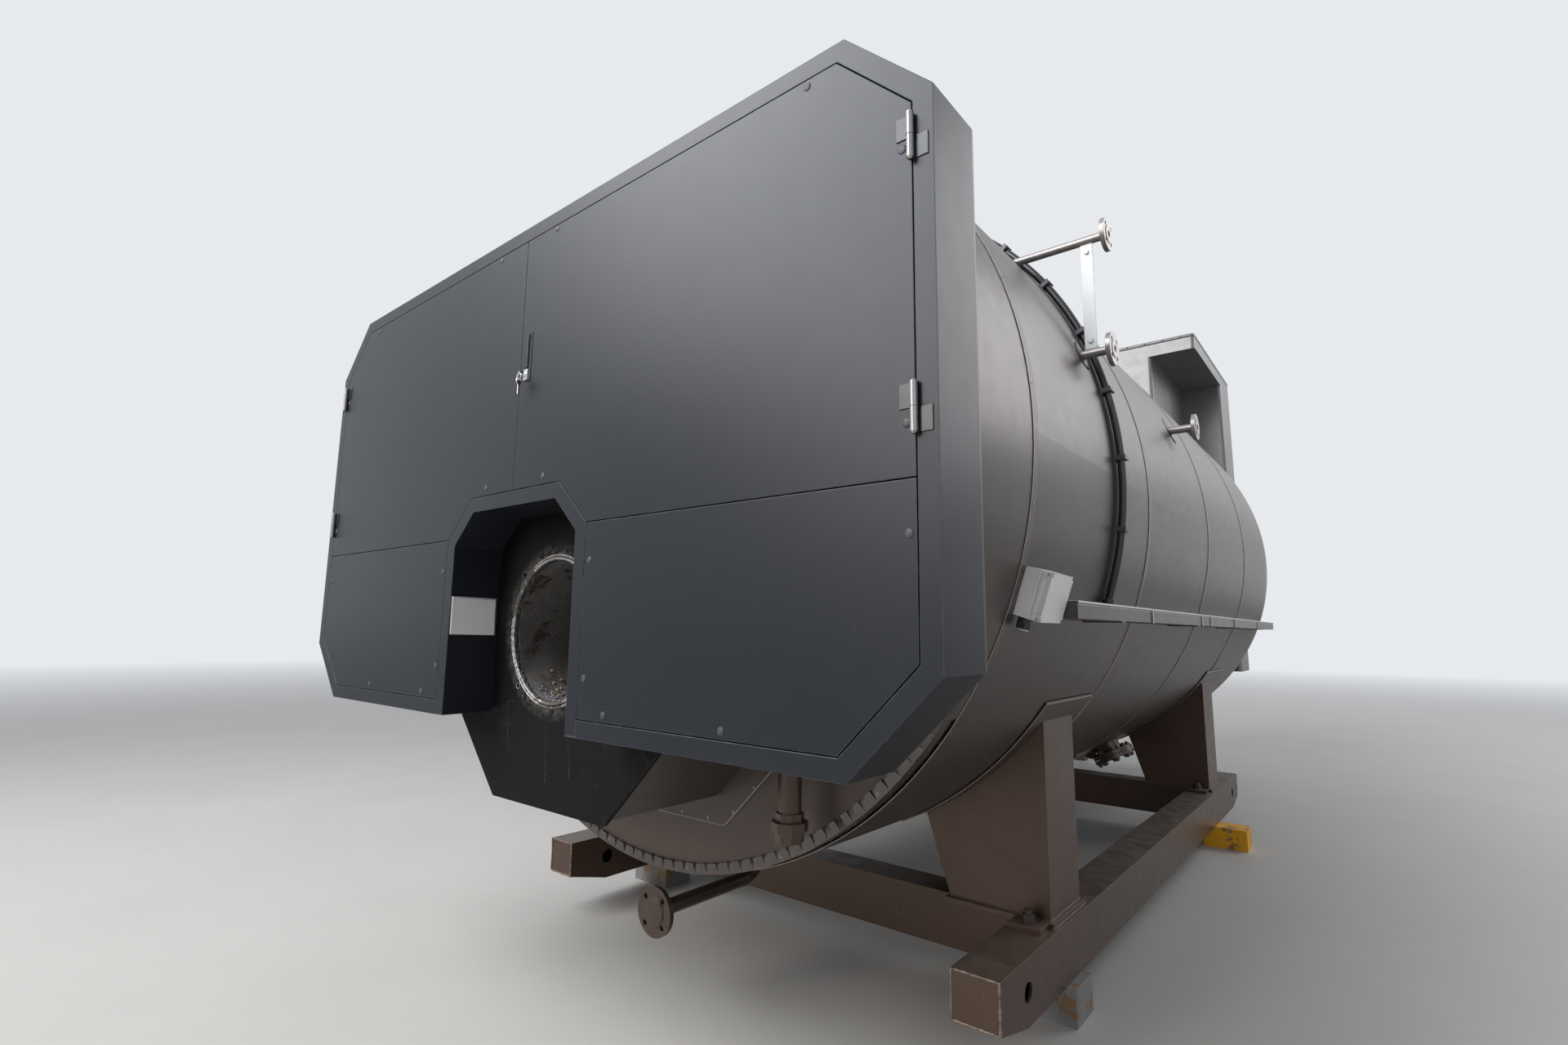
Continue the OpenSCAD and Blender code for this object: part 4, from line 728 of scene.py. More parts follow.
def welds(name, paths, radius, finish, slot, ripple=0.35, pitch=0.006):
    """Weld beads along paths."""
    run_tree(name, paths_mesh(name, paths), bead_tree, {
        "Radius": radius / 1000, "Ripple": ripple, "Pitch": pitch}, slot, finish)


def circle(centre, axis, radius, count):
    """Closed path round a circle, its radius in millimetres."""
    spin = axis.to_track_quat("Z", "Y").to_matrix()
    return [centre + spin @ (Vector((math.cos(2 * math.pi * i / count),
                                     math.sin(2 * math.pi * i / count), 0.0))
                             * radius / 1000) for i in range(count)], True


# %% [markdown]
# The skid and its saddles are welded from plate and tube. The legs stand in a frame of
# beads on their foot plates, the foot plates on the rails, and each rail end is closed by
# a plate whose weld shows as a ragged edge.
# %% Skid welds
RAIL_IN, RAIL_OUT, RAIL_H = 856.0, 996.0, 175.0
LEG_IN, LEG_OUT, FOOT_TOP, FOOT_OVER = 634.0, 968.0, 190.0, 15.0
RAIL_FRONT, RAIL_REAR, TOE_H = 865.0, 4605.0, 44.0
BEAM_START, BEAM_END = 65.0, 205.0
beads, ends = [], []
for side in (-1, 1):
    for y in SADDLES:
        beads.append(([shop(side * x, y + d, FOOT_TOP) for x, d in (
            (LEG_IN, 0.0), (LEG_OUT, 0.0), (LEG_OUT, SADDLE_LEN), (LEG_IN, SADDLE_LEN))],
            True))
        beads.append(([shop(side * x, y + d, RAIL_H) for x, d in (
            (RAIL_IN, -FOOT_OVER), (LEG_OUT + FOOT_OVER, -FOOT_OVER),
            (LEG_OUT + FOOT_OVER, SADDLE_LEN + FOOT_OVER),
            (RAIL_IN, SADDLE_LEN + FOOT_OVER))], False))
        beads.append(([shop(side * RAIL_IN, y + d, z) for d, z in (
            (BEAM_START, 2.0), (BEAM_START, RAIL_H - 2.0), (BEAM_END, RAIL_H - 2.0),
            (BEAM_END, 2.0))], True))
    for y in (RAIL_FRONT, RAIL_REAR):
        ends.append(([shop(side * x, y, z) for x, z in (
            (RAIL_IN + 2.0, TOE_H + 2.0), (RAIL_OUT - 2.0, TOE_H + 2.0),
            (RAIL_OUT - 2.0, RAIL_H - 2.0), (RAIL_IN + 2.0, RAIL_H - 2.0))], True))
welds("skid_welds", beads, 3.2, "weld_metal", "skid_paint")
welds("rail_end_welds", ends, 3.4, "weld_tan", "skid_paint", 0.75, 0.005)

# %% [markdown]
# The smoke box is welded to the back of the burner plate all round, and pipes are welded to
# their flanges. The bead round the burner opening is the one that shows: it is pale and double,
# with a dark crust inside. The pale rims round the bolt holes are a painted highlight that
# stands for the light on the hole walls; bare metal shows in the lines that were scribed on the
# plate. Both are thin beads of the same pale steel.
# %% Smoke box, pipe and burner welds
BOX = ((262.0, 577.0), (1090.0, 1405.0), (1090.0, 1875.0), (850.0, 2115.0))
outline = [(x, z) for x, z in BOX] + [(-x, z) for x, z in reversed(BOX)]
welds("smoke_box_weld", [([shop(x, PLATE_Y + 13.0, z) for x, z in outline], True)], 4.0,
      "weld_metal", "skid_paint")


def round_burner(radius, depth):
    """Closed path round the burner opening, both sizes in millimetres."""
    return circle(shop(0.0, PLATE_Y + depth, BURNER_Z), FRONT, radius, 180)


welds("burner_weld_inner", [round_burner(BURNER_R + 4.5, 0.0)], 4.4, "weld_pale",
      "black_plate", 0.5, 0.004)
welds("burner_weld_outer", [round_burner(BURNER_R + 14.5, 0.6)], 3.2, "weld_pale",
      "black_plate", 0.5, 0.004)
welds("burner_weld_crust", [round_burner(BURNER_R + 1.0, back) for back in (5.0, 11.0)], 2.6,
      "weld_crust", "black_plate", 0.7, 0.003)
BURNER_HOLE = 164.0
# Pale rims round the four bolt holes: painted highlight for the lit hole walls.
lit_hole_rims = [circle(shop(sx * BURNER_HOLE, PLATE_Y - 0.2, BURNER_Z + sz * BURNER_HOLE), FRONT, 7.8,
               20) for sx in (-1, 1) for sz in (-1, 1)]
welds("burner_hole_highlight_rims", lit_hole_rims, 0.9, "weld_pale", "black_plate", 0.7, 0.002)
marks = (((-216.0, 846.0), (-180.0, 846.0)), ((-216.0, 846.0), (-209.0, 790.0)),
         ((-209.0, 790.0), (-199.0, 706.0)), ((-14.0, 846.0), (0.0, 638.0)),
         ((106.0, 760.0), (112.0, 664.0)))
welds("plate_scribe_marks", [([shop(x, PLATE_Y, z) for x, z in mark], False) for mark in marks],
      0.45, "scribed_line", "black_plate", 0.9, 0.003)
NOZZLE_WELD_X, BLOWDOWN_WELD_YS = 1246.0, (583.0, 983.2)
joints = [circle(shop(side * NOZZLE_WELD_X, GAUGE_Y, z), RIGHT * side, 13.5, 24)
          for side in (-1, 1) for z in GAUGE_ZS]
joints.append(circle(shop(NOZZLE_WELD_X, SIDE_NOZZLE_Y, SIDE_NOZZLE_Z), RIGHT, 17.0, 24))
joints += [circle(shop(0.0, y, BLOWDOWN_Z), FRONT, 24.0, 32) for y in BLOWDOWN_WELD_YS]
welds("pipe_welds", joints, 2.4, "weld_metal", "pipe_steel", 0.3, 0.004)

# %% [markdown]
# The opening is lined with castable refractory, rough from the trowel and the fire. The
# lining is a tube whose inner wall is pushed about by noise, and loose crumbs lie at its
# bottom: one broken stone, copied with a random size and turn from a fixed seed.
# %% Refractory lining and rubble
LINING_FRONT, LINING_BACK, LINING_IN, LINING_OUT = 167.0, 648.0, 202.5, 206.6
BROAD_SCALE, FINE_SCALE, LUMP_GAIN = 14.0, 60.0, 3.0
LUMP_LEAST, LUMP_MOST, LIP = -2.5, 6.0, 1.5
bm = bmesh.new()
rows, AROUND, ALONG = [], 128, 70
for j in range(ALONG + 1):
    y = LINING_FRONT + (LINING_BACK - LINING_FRONT) * j / ALONG
    inner, outer = [], []
    for i in range(AROUND):
        a = 2 * math.pi * i / AROUND
        way = Vector((math.cos(a), 0.0, math.sin(a)))
        spot = Vector((way.x * 0.2, y / 1000, way.z * 0.2))
        rise = (1.6 * field.fractal(spot * BROAD_SCALE, 1.0, 2.0, 4)
                + 0.8 * abs(field.noise(spot * FINE_SCALE)))
        r = LINING_IN - max(LUMP_LEAST, min(LUMP_MOST, LUMP_GAIN * rise)) - (0.0 if j else LIP)
        inner.append(bm.verts.new(shop(way.x * r, y, BURNER_Z + way.z * r)))
        outer.append(bm.verts.new(shop(way.x * LINING_OUT, y, BURNER_Z + way.z * LINING_OUT)))
    rows.append((inner, outer))
for j in range(ALONG):
    for wall in (0, 1):
        bridge(bm, rows[j][wall], rows[j + 1][wall], wall == 0)
for j in (0, ALONG):
    bridge(bm, *rows[j])
make("refractory_lining", bm, "refractory")

rubble_tree, given = new_tree("rubble", Size="Float", Seed="Int")
stone = geo(rubble_tree, "MeshIcoSphere", {"Radius": given["Size"], "Subdivisions": 1})
lumps = add(rubble_tree, "ShaderNodeTexNoise", {
    "Vector": geo(rubble_tree, "InputPosition"), "Scale": 160.0}).outputs["Color"]
shift = vector_calc(rubble_tree, "SUBTRACT", lumps, (0.5, 0.5, 0.5))[0]
shift = add(rubble_tree, "ShaderNodeVectorMath", {
    0: shift, "Scale": product(rubble_tree, given["Size"], 2.2)}, operation="SCALE").outputs[0]
stone = geo(rubble_tree, "SetPosition", {"Geometry": stone, "Offset": shift})
size = add(rubble_tree, "FunctionNodeRandomValue", {
    2: 0.35, 3: 1.5, "Seed": given["Seed"]}, data_type="FLOAT").outputs[1]
spin = add(rubble_tree, "FunctionNodeRandomValue", {
    0: (0.0, 0.0, 0.0), 1: (6.28, 6.28, 6.28), "Seed": given["Seed"]},
    data_type="FLOAT_VECTOR").outputs[0]
stones = geo(rubble_tree, "InstanceOnPoints", {
    "Points": given["Geometry"], "Instance": stone, "Rotation": spin, "Scale": size})
close_tree(rubble_tree, given, stones, smooth=False)

CRUMBS, CRUMB_R, CRUMB_SIZE = 620, 199.5, 0.0034
CRUMB_FIRST, CRUMB_REACH, CRUMB_FAN = 15.0, 330.0, 15.0
draw = random.Random(7)
crumbs = []
for _ in range(CRUMBS):
    a = math.radians(DOWN_ANGLE + draw.gauss(0.0, CRUMB_FAN))
    y = LINING_FRONT + CRUMB_FIRST + draw.random() ** 1.3 * CRUMB_REACH
    crumbs.append((shop(CRUMB_R * math.cos(a), y, BURNER_Z + CRUMB_R * math.sin(a)), FRONT))
run_tree("refractory_rubble", point_mesh("rubble", crumbs), rubble_tree, {
    "Size": CRUMB_SIZE, "Seed": 3}, "refractory", "rubble_stone")

# %% [markdown]
# A blank card hangs on the left wall of the notch, where the works puts its check sheet.
# It is a thin sheet with a slight curl, fixed at its top edge, and it stays empty here.
# %% Blank card
CARD_X, CARD_Y, CARD_Z, CARD_W, CARD_H = -303.8, 3.0, 1040.0, 144.0, 112.0
bm = bmesh.new()
ACROSS, HIGH = 24, 16
layers = []
for thick in (0.0, 0.5):
    grid = []
    for j in range(HIGH + 1):
        for i in range(ACROSS + 1):
            u, v = i / ACROSS, j / HIGH
            curl = 0.4 + 3.0 * (1 - v) * abs(2 * u - 1) ** 3 + 1.0 * math.sin(3 * u) * (1 - v)
            grid.append(bm.verts.new(shop(CARD_X + curl + thick, CARD_Y + CARD_W * u,
                                          CARD_Z + CARD_H * v - 2.0 * u)))
    layers.append(grid)
stride = ACROSS + 1
for grid in layers:
    for j in range(HIGH):
        for i in range(ACROSS):
            k = j * stride + i
            bm.faces.new((grid[k], grid[k + 1], grid[k + stride + 1], grid[k + stride]))
rim = ([i for i in range(stride)] + [stride * (j + 1) - 1 for j in range(1, HIGH + 1)]
       + [HIGH * stride + i for i in range(ACROSS - 1, -1, -1)]
       + [j * stride for j in range(HIGH - 1, 0, -1)])
bridge(bm, *([grid[k] for k in rim] for grid in layers))
make("blank_card", bm, "casing_paint", 0.0, "white_card")

# %% [markdown]
# The doors are opened with a flush swing handle. On the CAD handle sit a rounded lever
# face, a chrome lock with its key left in, and a split ring with the spare key.
# %% Handle, lock and keys
low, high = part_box("door_handle")
handle_x = (low.x + high.x) * 500
handle_z = (low.z + high.z) * 500 - BLOCK_H
LOCK_DOWN, LOCK_FACE = 54.0, -6.0
lock_z = handle_z - LOCK_DOWN
bm = bmesh.new()
block(bm, (handle_x - 5.5, -6.5, lock_z + 22.0), (handle_x + 4.5, -1.0, handle_z + 62.0))
make("handle_lever", bm, "lock_chrome", 2.4, body="right_door")
bm = bmesh.new()
block(bm, (handle_x - 9.0, LOCK_FACE - 1.5, lock_z - 15.0),
      (handle_x + 9.0, -1.0, lock_z + 16.0))
stack(bm, shop(handle_x, LOCK_FACE, lock_z), FRONT, (
    (0.0, 4.0, 8.4, 36, 7.6), (0.0, 6.0, 5.0, 30)))
make("lock_cylinder", bm, "lock_chrome", 0.8, "chrome", "right_door")


BOW_R, BOW_DROP, BOW_HALF_T = 10.5, 0.006, 0.0011
BLADE_DROP, BLADE_HALF_W, BLADE_HALF_T, NOTCH, TEETH = 0.008, 0.0038, 0.0009, 0.0014, 10


def key(bm, hole, down, flat, length=28.0):
    """Key hung from its hole: a round bow and a toothed blade."""
    thick = flat * BOW_HALF_T
    side = down.cross(flat)
    centre = hole + down * BOW_DROP
    rod(bm, centre - thick, centre + thick, BOW_R, 28)
    start = centre + down * BLADE_DROP
    for i in range(TEETH):
        ends = [start + down * (length / 1000 * n / TEETH) for n in (i, i + 1)]
        half = BLADE_HALF_W - (NOTCH if i % 2 and i > 2 else 0.0)
        eight_corners(bm, [
            p + side * s * (half if s > 0 else BLADE_HALF_W) + flat * t * BLADE_HALF_T
            for p in ends for s in (-1, 1) for t in (-1, 1)])


bm = bmesh.new()
bow = shop(handle_x, LOCK_FACE - 17.0, lock_z)
key(bm, bow, Vector((0.0, 1.0, 0.0)), RIGHT, 3.0)
RING_R = 8.6
ring_at = bow + Vector((0.0, -0.002, -0.0095))
facing = Vector((-0.15, 1.0, 0.0)).normalized()
ring(bm, ring_at, facing, RING_R, 0.9)
ring(bm, ring_at + Vector((0.0, 0.0016, 0.0)), facing, RING_R, 0.9)
key(bm, ring_at + Vector((0.0, 0.0, -0.0086)), -UP, Vector((0.9, 0.4, 0.0)).normalized())
make("keys", bm, "lock_chrome", 0.3, "chrome", "right_door")

# %% [markdown]
# Each hinge has a bright washer between its two barrels and a domed cap at both ends. The
# washers and lower caps stay with the fixed half, the upper caps turn with the door.
# %% Hinge washers and caps
BARREL_R, BARREL_Y, BARREL_LEN, HINGE_X = 7.0, -8.0, 44.0, 1257.5
end_cap = (BARREL_R - 0.4, 24, 4.0)
for side, body in ((1, "right_door"), (-1, "left_door")):
    low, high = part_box(body + "_hinges")
    domes, washers = bmesh.new(), bmesh.new()
    for z in (high.z * 1000 - BLOCK_H, low.z * 1000 - BLOCK_H + BARREL_LEN):
        top = shop(side * HINGE_X, BARREL_Y, z)
        stack(domes, top, UP, ((-0.2, 3.0, *end_cap),))
        stack(washers, top, UP, ((-BARREL_LEN - 0.6, -BARREL_LEN, BARREL_R + 1.0, 28),
                                 (-88.5, -92.0, *end_cap)))
    # The upper caps carry the same painted sheen as the barrels.
    make(body + "_hinge_caps", domes, "casing_paint", 0.6, "hinge_painted_sheen", body)
    make(body + "_hinge_washers", washers, "casing_paint", 0.2, "machined_steel")

# %% [markdown]
# The junction box is a moulded case whose lid is held by four screws in its corner
# pockets. A thin raised field on each side of the base and a black gland below finish it.
# All of it is drawn in the box's own tilted directions: out, along and up the shell.
# %% Junction box
BOX_ANGLE, BOX_Y, BOX_LEN, BOX_H = math.radians(18.1), 659.0, 152.0, 120.0
BOX_R, BASE_D, POCKET_IN, POCKET_FLOOR = CLAD_R + SEAT, 41.0, 5.0, 54.0
box_out = Vector((math.cos(BOX_ANGLE), 0.0, -math.sin(BOX_ANGLE)))
box_up = Vector((math.sin(BOX_ANGLE), 0.0, math.cos(BOX_ANGLE)))


def on_box(out, along, rise):
    """Point in metres from sizes in the directions of the junction box."""
    centre = shop(0.0, BOX_Y, AXIS_H)
    return (centre + box_out * (BOX_R + out) / 1000 + Vector((0.0, along, 0.0)) / 1000
            + box_up * rise / 1000)


def tilted_block(bm, low, high):
    """Block in the directions of the junction box."""
    eight_corners(bm, [on_box(x, y, z) for x in (low[0], high[0]) for y in (low[1], high[1])
                       for z in (low[2], high[2])])


bm = bmesh.new()
HALF_H = BOX_H / 2
tilted_block(bm, (3.0, -0.6, -HALF_H + 4.0), (BASE_D - 3.0, BOX_LEN + 0.6, HALF_H - 4.0))
tilted_block(bm, (3.0, 4.0, -HALF_H + 0.5), (BASE_D - 3.0, BOX_LEN - 4.0, HALF_H + 0.6))
make("junction_box_relief", bm, "grey_plastic", 0.8)
screws("junction_box_screws", [
    (on_box(POCKET_FLOOR, along, rise), box_out) for along in (POCKET_IN, BOX_LEN - POCKET_IN)
    for rise in (-HALF_H + POCKET_IN, HALF_H - POCKET_IN)], 8.4, 2.5, "machined_steel",
    "grey_plastic")
bm = bmesh.new()
stack(bm, on_box(BASE_D / 2, 30.0, -HALF_H), -box_up, (
    (-1.0, 7.0, 18.6, 6), (7.0, 20.0, 15.6, 28), (14.0, 27.0, 18.0, 6),
    (27.0, 33.5, 16.6, 28, 13.0)))
make("box_gland", bm, "conduit_black", 0.8)

# %% [markdown]
# The cable tray has a thin pale lid with a narrow lip over its outer side, and a thin white
# strip below the lip that is a painted highlight along the tray's edge. Bent straps hold it
# down, and a black union takes the hose through the lid.
# %% Tray lid, straps and hose union
low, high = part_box("cable_tray")
TRAY_IN, TRAY_OUT, TRAY_LOW = 1167.0, 1250.0, TRAY_TOP - 44.0
LID_IN, LID_TOP, STRAP_W = TRAY_IN - 2.0, TRAY_TOP + 1.0, 9.0
tray_y0 = low.y * 1000 + MID_Y
tray_y1 = high.y * 1000 + MID_Y
bm = bmesh.new()
for x0, z0, x1, z1 in ((LID_IN, TRAY_TOP - 0.3, TRAY_OUT + 3.0, LID_TOP),
                       (TRAY_OUT + 2.0, TRAY_TOP - 4.0, TRAY_OUT + 3.2, TRAY_TOP),
                       # The last block, a thin white strip below the lip, is a painted
                       # highlight along the tray's outer edge.
                       (TRAY_OUT - 0.5, TRAY_TOP - 8.5, TRAY_OUT + 1.4, TRAY_TOP - 7.3)):
    block(bm, (x0, tray_y0, z0), (x1, tray_y1, z1))
make("tray_lid", bm, "cladding_sheet", 0.3, "white_paint")
STRAP_YS = (1547.0, 2361.0, 2554.0, 3175.0, 3989.0)
bm = bmesh.new()
for y in STRAP_YS:
    for x0, z0, z1 in ((TRAY_OUT + 0.2, TRAY_LOW - 3.0, TRAY_TOP + 2.4),
                       (LID_IN, TRAY_TOP + 0.9, TRAY_TOP + 2.4),
                       (TRAY_OUT - 14.0, TRAY_LOW - 3.0, TRAY_LOW - 1.6)):
        block(bm, (x0, y, z0), (TRAY_OUT + 4.2, y + STRAP_W, z1))
make("tray_straps", bm, "cladding_sheet", 0.4, "machined_steel")
bm = bmesh.new()
stack(bm, shop(1181.0, HOSE_Y, LID_TOP), UP, (
    (0.0, 9.0, 20.0, 6), (9.0, 13.0, 16.5, 28), (13.0, 24.0, 18.5, 12)))
make("hose_union", bm, "conduit_black", 0.8)

# %% [markdown]
# Where a nozzle comes through the cladding, a thin rosette covers the cut. It follows the
# curve of the shell, so each of its points is set out round the nozzle and then dropped
# onto the cladding.
# %% Rosettes and tie bar
ROSETTE_TOP, ROSETTE_POINTS = 2.0, 48


def rosette(bm, y, z, inner, outer, side):
    """Curved cover ring round a sideways nozzle."""
    rings = []
    for rise, radius in ((SEAT, inner), (SEAT, outer), (ROSETTE_TOP, outer),
                         (ROSETTE_TOP, inner)):
        row = []
        for i in range(ROSETTE_POINTS):
            a = 2 * math.pi * i / ROSETTE_POINTS
            up = z + radius * math.sin(a) - AXIS_H
            out = math.sqrt((CLAD_R + rise) ** 2 - up ** 2)
            row.append(bm.verts.new(shop(side * out, y + radius * math.cos(a), AXIS_H + up)))
        rings.append(row)
    closed_skin(bm, rings)


bm = bmesh.new()
for side in (-1, 1):
    for z, outer in zip(GAUGE_ZS, (48.0, 52.0)):
        rosette(bm, GAUGE_Y, z, 13.8, outer, side)
rosette(bm, SIDE_NOZZLE_Y, SIDE_NOZZLE_Z, 17.3, 60.0, 1)
make("nozzle_rosettes", bm, "cladding_sheet")
TIE_X, TIE_HALF_W, TIE_HALF_T = 1192.0, 18.6, 3.4
bm = bmesh.new()
for side in (-1, 1):
    x = side * TIE_X
    block(bm, (x - TIE_HALF_W, GAUGE_Y - TIE_HALF_T, 1950.0),
          (x + TIE_HALF_W, GAUGE_Y + TIE_HALF_T, 2295.0))
    for z in (1974.0, 2271.0):
        rod(bm, shop(x, GAUGE_Y + 5.5, z), shop(x, GAUGE_Y - 9.0, z), 8.0, 6)
make("gauge_tie_bars", bm, "pipe_steel", 0.8, "white_paint")

# %% [markdown]
# Hexagon bolts close the blind flange under the shell. One bolt is a washer, a hexagon
# and a short end of thread, built in its tree from three cylinders.
# %% Hexagon bolts
bolt_tree, given = new_tree("hexagon_bolts", Radius="Float", Height="Float")


def turned_part(tree, sides, radius, bottom, height):
    """Upright cylinder or prism that starts at a height."""
    body = geo(tree, "MeshCylinder", {"Vertices": sides, "Radius": radius, "Depth": height})
    middle = calc(tree, "ADD", bottom, product(tree, height, 0.5))
    return moved(tree, body, at=vector(tree, 0.0, 0.0, middle))


washer_h = product(bolt_tree, given["Height"], 0.2)
bolt = joined(
    bolt_tree,
    turned_part(bolt_tree, 20, product(bolt_tree, given["Radius"], 1.15), 0.0, washer_h),
    turned_part(bolt_tree, 6, given["Radius"], washer_h, given["Height"]),
    turned_part(bolt_tree, 14, product(bolt_tree, given["Radius"], 0.55), washer_h,
                product(bolt_tree, given["Height"], 1.5)))
close_tree(bolt_tree, given, copies_on_points(bolt_tree, given["Geometry"], bolt),
           smooth=False)

HOLE_ANGLE, HOLE_Y, BOLT_CIRCLE = -63.0, 3400.0, 90.0
turn_out = math.radians(90.0 - HOLE_ANGLE)
hole_out = Vector((math.sin(turn_out), 0.0, math.cos(turn_out)))
hole_x = Vector((math.cos(turn_out), 0.0, -math.sin(turn_out)))
FLANGE_TOP, FLANGE_BACK = 1.315, 1.273
bolt_places = []
for i in range(8):
    a = math.radians((i + 0.5) * 45.0)
    off = (hole_x * math.cos(a) + Vector((0.0, math.sin(a), 0.0))) * BOLT_CIRCLE / 1000
    centre = shop(0.0, HOLE_Y, AXIS_H) + off
    bolt_places.append((centre + hole_out * FLANGE_TOP, hole_out))
    bolt_places.append((centre + hole_out * FLANGE_BACK, -hole_out))
run_tree("hand_hole_bolts", point_mesh("bolts", bolt_places), bolt_tree, {
    "Radius": 0.0135, "Height": 0.011}, "pipe_steel", "painted_pipe")

# The blowdown flanges are closed for transport by thin domed covers.
bm = bmesh.new()
for face, way in ((565.0, FRONT), (4920.0, -FRONT)):
    stack(bm, shop(0.0, face, BLOWDOWN_Z), way, (
        (-0.5, 2.5, 43.5, 48), (2.4, 4.0, 36.0, 48, 30.0)))
make("blowdown_covers", bm, "pipe_steel", 0.5, "painted_pipe")

# %% [markdown]
# The flashings round the leg tops and the collar round the smoke box carry the same small
# screws as the cladding, a fixed step inside their edges.
# %% Flashing and collar screws
FLASH_RISE, INSET_LEN = 6.6, 12.0
ROW_ANGLES, END_ANGLES = (26.0, 33.0, 40.0, 47.0, 54.0), (25.3, 54.9)
edge_places = []
for y0, y1 in FLASHED:
    for from_down in ROW_ANGLES:
        for side in (-1, 1):
            for y in (y0 + INSET_LEN, y1 - INSET_LEN):
                edge_places.append(on_shell(DOWN_ANGLE + side * from_down, y, FLASH_RISE))
    for step in range(1, 4):
        y = y0 + INSET_LEN + (y1 - y0 - 2 * INSET_LEN) * step / 4
        for side in (-1, 1):
            for from_down in END_ANGLES:
                edge_places.append(on_shell(DOWN_ANGLE + side * from_down, y, FLASH_RISE))
COLLAR_Z, COLLAR_X, COLLAR_PITCH, COLLAR_R = 508.0, 295.0, 112.0, 1170.0
for side in (-1, 1):
    for step in range(7):
        d = COLLAR_PITCH * (step + 0.4) / math.sqrt(2)
        x, z = COLLAR_X + d, COLLAR_Z + d
        if math.hypot(x, z - AXIS_H) < COLLAR_R:
            edge_places.append((shop(side * x, BAND_FRONT, z), FRONT))
for step in range(-2, 3):
    edge_places.append((shop(COLLAR_PITCH * step, BAND_FRONT, COLLAR_Z), FRONT))
TIP_X, TIP_Z, HEM_STEP, HEM_R = 295.1, 497.0, 20.0, 1186.0
run = [step * HEM_STEP for step in range(60)
       if math.hypot(TIP_X + step * HEM_STEP, TIP_Z + step * HEM_STEP - AXIS_H) < HEM_R]
hem = ([shop(-TIP_X - d, BAND_FRONT, TIP_Z + d) for d in reversed(run)]
       + [shop(TIP_X + d, BAND_FRONT, TIP_Z + d) for d in run])
welds("collar_hem", [(hem, False)], 1.5, "cut_edge", "cladding_sheet", 0.0, 0.02)
screws("flashing_screws", edge_places)

# %% [markdown]
# The cut edge of each upper sheet is bare metal and catches the light as a thin bright
# line. The bead tree draws it too, with no ripple: round each ring lap, along the low
# lengthwise laps and round the flashings, which are measured on their CAD node.
# %% Bright sheet edges
EDGE_BEAD = 1.2
LAP_R = LAP_RISE - 0.5
edges = []
for start in SHEET_STARTS:
    y = start - LAP_W
    line = []
    for step in range(181):
        angle = DOWN_ANGLE + 2.0 * step
        if flashed(y, abs((2.0 * step + 180.0) % 360.0 - 180.0)):
            if line:
                edges.append((line, False))
            line = []
        else:
            line.append(on_shell(angle, y, LAP_R)[0])
    edges.append((line, False))
stops = [SHEET_STARTS[0]] + [y for pair in FLASHED for y in pair] + [SHEETS_END]
for side in (-1, 1):
    for y0, y1 in zip(stops[::2], stops[1::2]):
        edges.append(([on_shell(DOWN_ANGLE + side * SEAM_ANGLE, y, LAP_R)[0] for y in (y0, y1)],
                      False))
spots = [v.co * 1000 for v in frame["nodes"]["saddle_flashings"].data.vertices]
spots = [(math.degrees(math.atan2(abs(c.x), AXIS_H + BLOCK_H - c.z)),
          math.hypot(c.x, c.z - BLOCK_H - AXIS_H) - CLAD_R) for c in spots]
top_rise = max(rise for _, rise in spots)
turns = [turn for turn, rise in spots if rise > top_rise - 0.5]
print("flashing spans", round(min(turns), 2), "to", round(max(turns), 2), "rise", top_rise)
for y0, y1 in FLASHED:
    for side in (-1, 1):
        sweep = [min(turns) + (max(turns) - min(turns)) * i / 16 for i in range(17)]
        loop = ([on_shell(DOWN_ANGLE + side * turn, y0, top_rise - 0.4)[0] for turn in sweep]
                + [on_shell(DOWN_ANGLE + side * turn, y1, top_rise - 0.4)[0]
                   for turn in reversed(sweep)])
        edges.append((loop, True))
welds("sheet_edges", edges, EDGE_BEAD, "cut_edge", "cladding_sheet", 0.0, 0.02)

# %% [markdown]
# The head of the economizer is closed by a lid. Its folded rim stands a little proud and
# follows the rounded corners, with a line of screws below it.
# %% Economizer lid
HEAD_HALF, HEAD_Y0, HEAD_Y1, HEAD_TOP, HEAD_R = 860.0, 5070.0, 6600.0, 3361.0, 25.0
LID_LAP, LID_T = 26.0, 1.6


def rounded_loop(grow):
    """Points round the head with rounded corners, moved out by a number of millimetres."""
    r = HEAD_R + grow
    loop = []
    for cx, cy, first in ((HEAD_HALF - HEAD_R, HEAD_Y0 + HEAD_R, -90),
                          (HEAD_HALF - HEAD_R, HEAD_Y1 - HEAD_R, 0),
                          (HEAD_R - HEAD_HALF, HEAD_Y1 - HEAD_R, 90),
                          (HEAD_R - HEAD_HALF, HEAD_Y0 + HEAD_R, 180)):
        for step in range(9):
            a = math.radians(first + 90 * step / 8)
            loop.append((cx + r * math.cos(a), cy + r * math.sin(a)))
    return loop


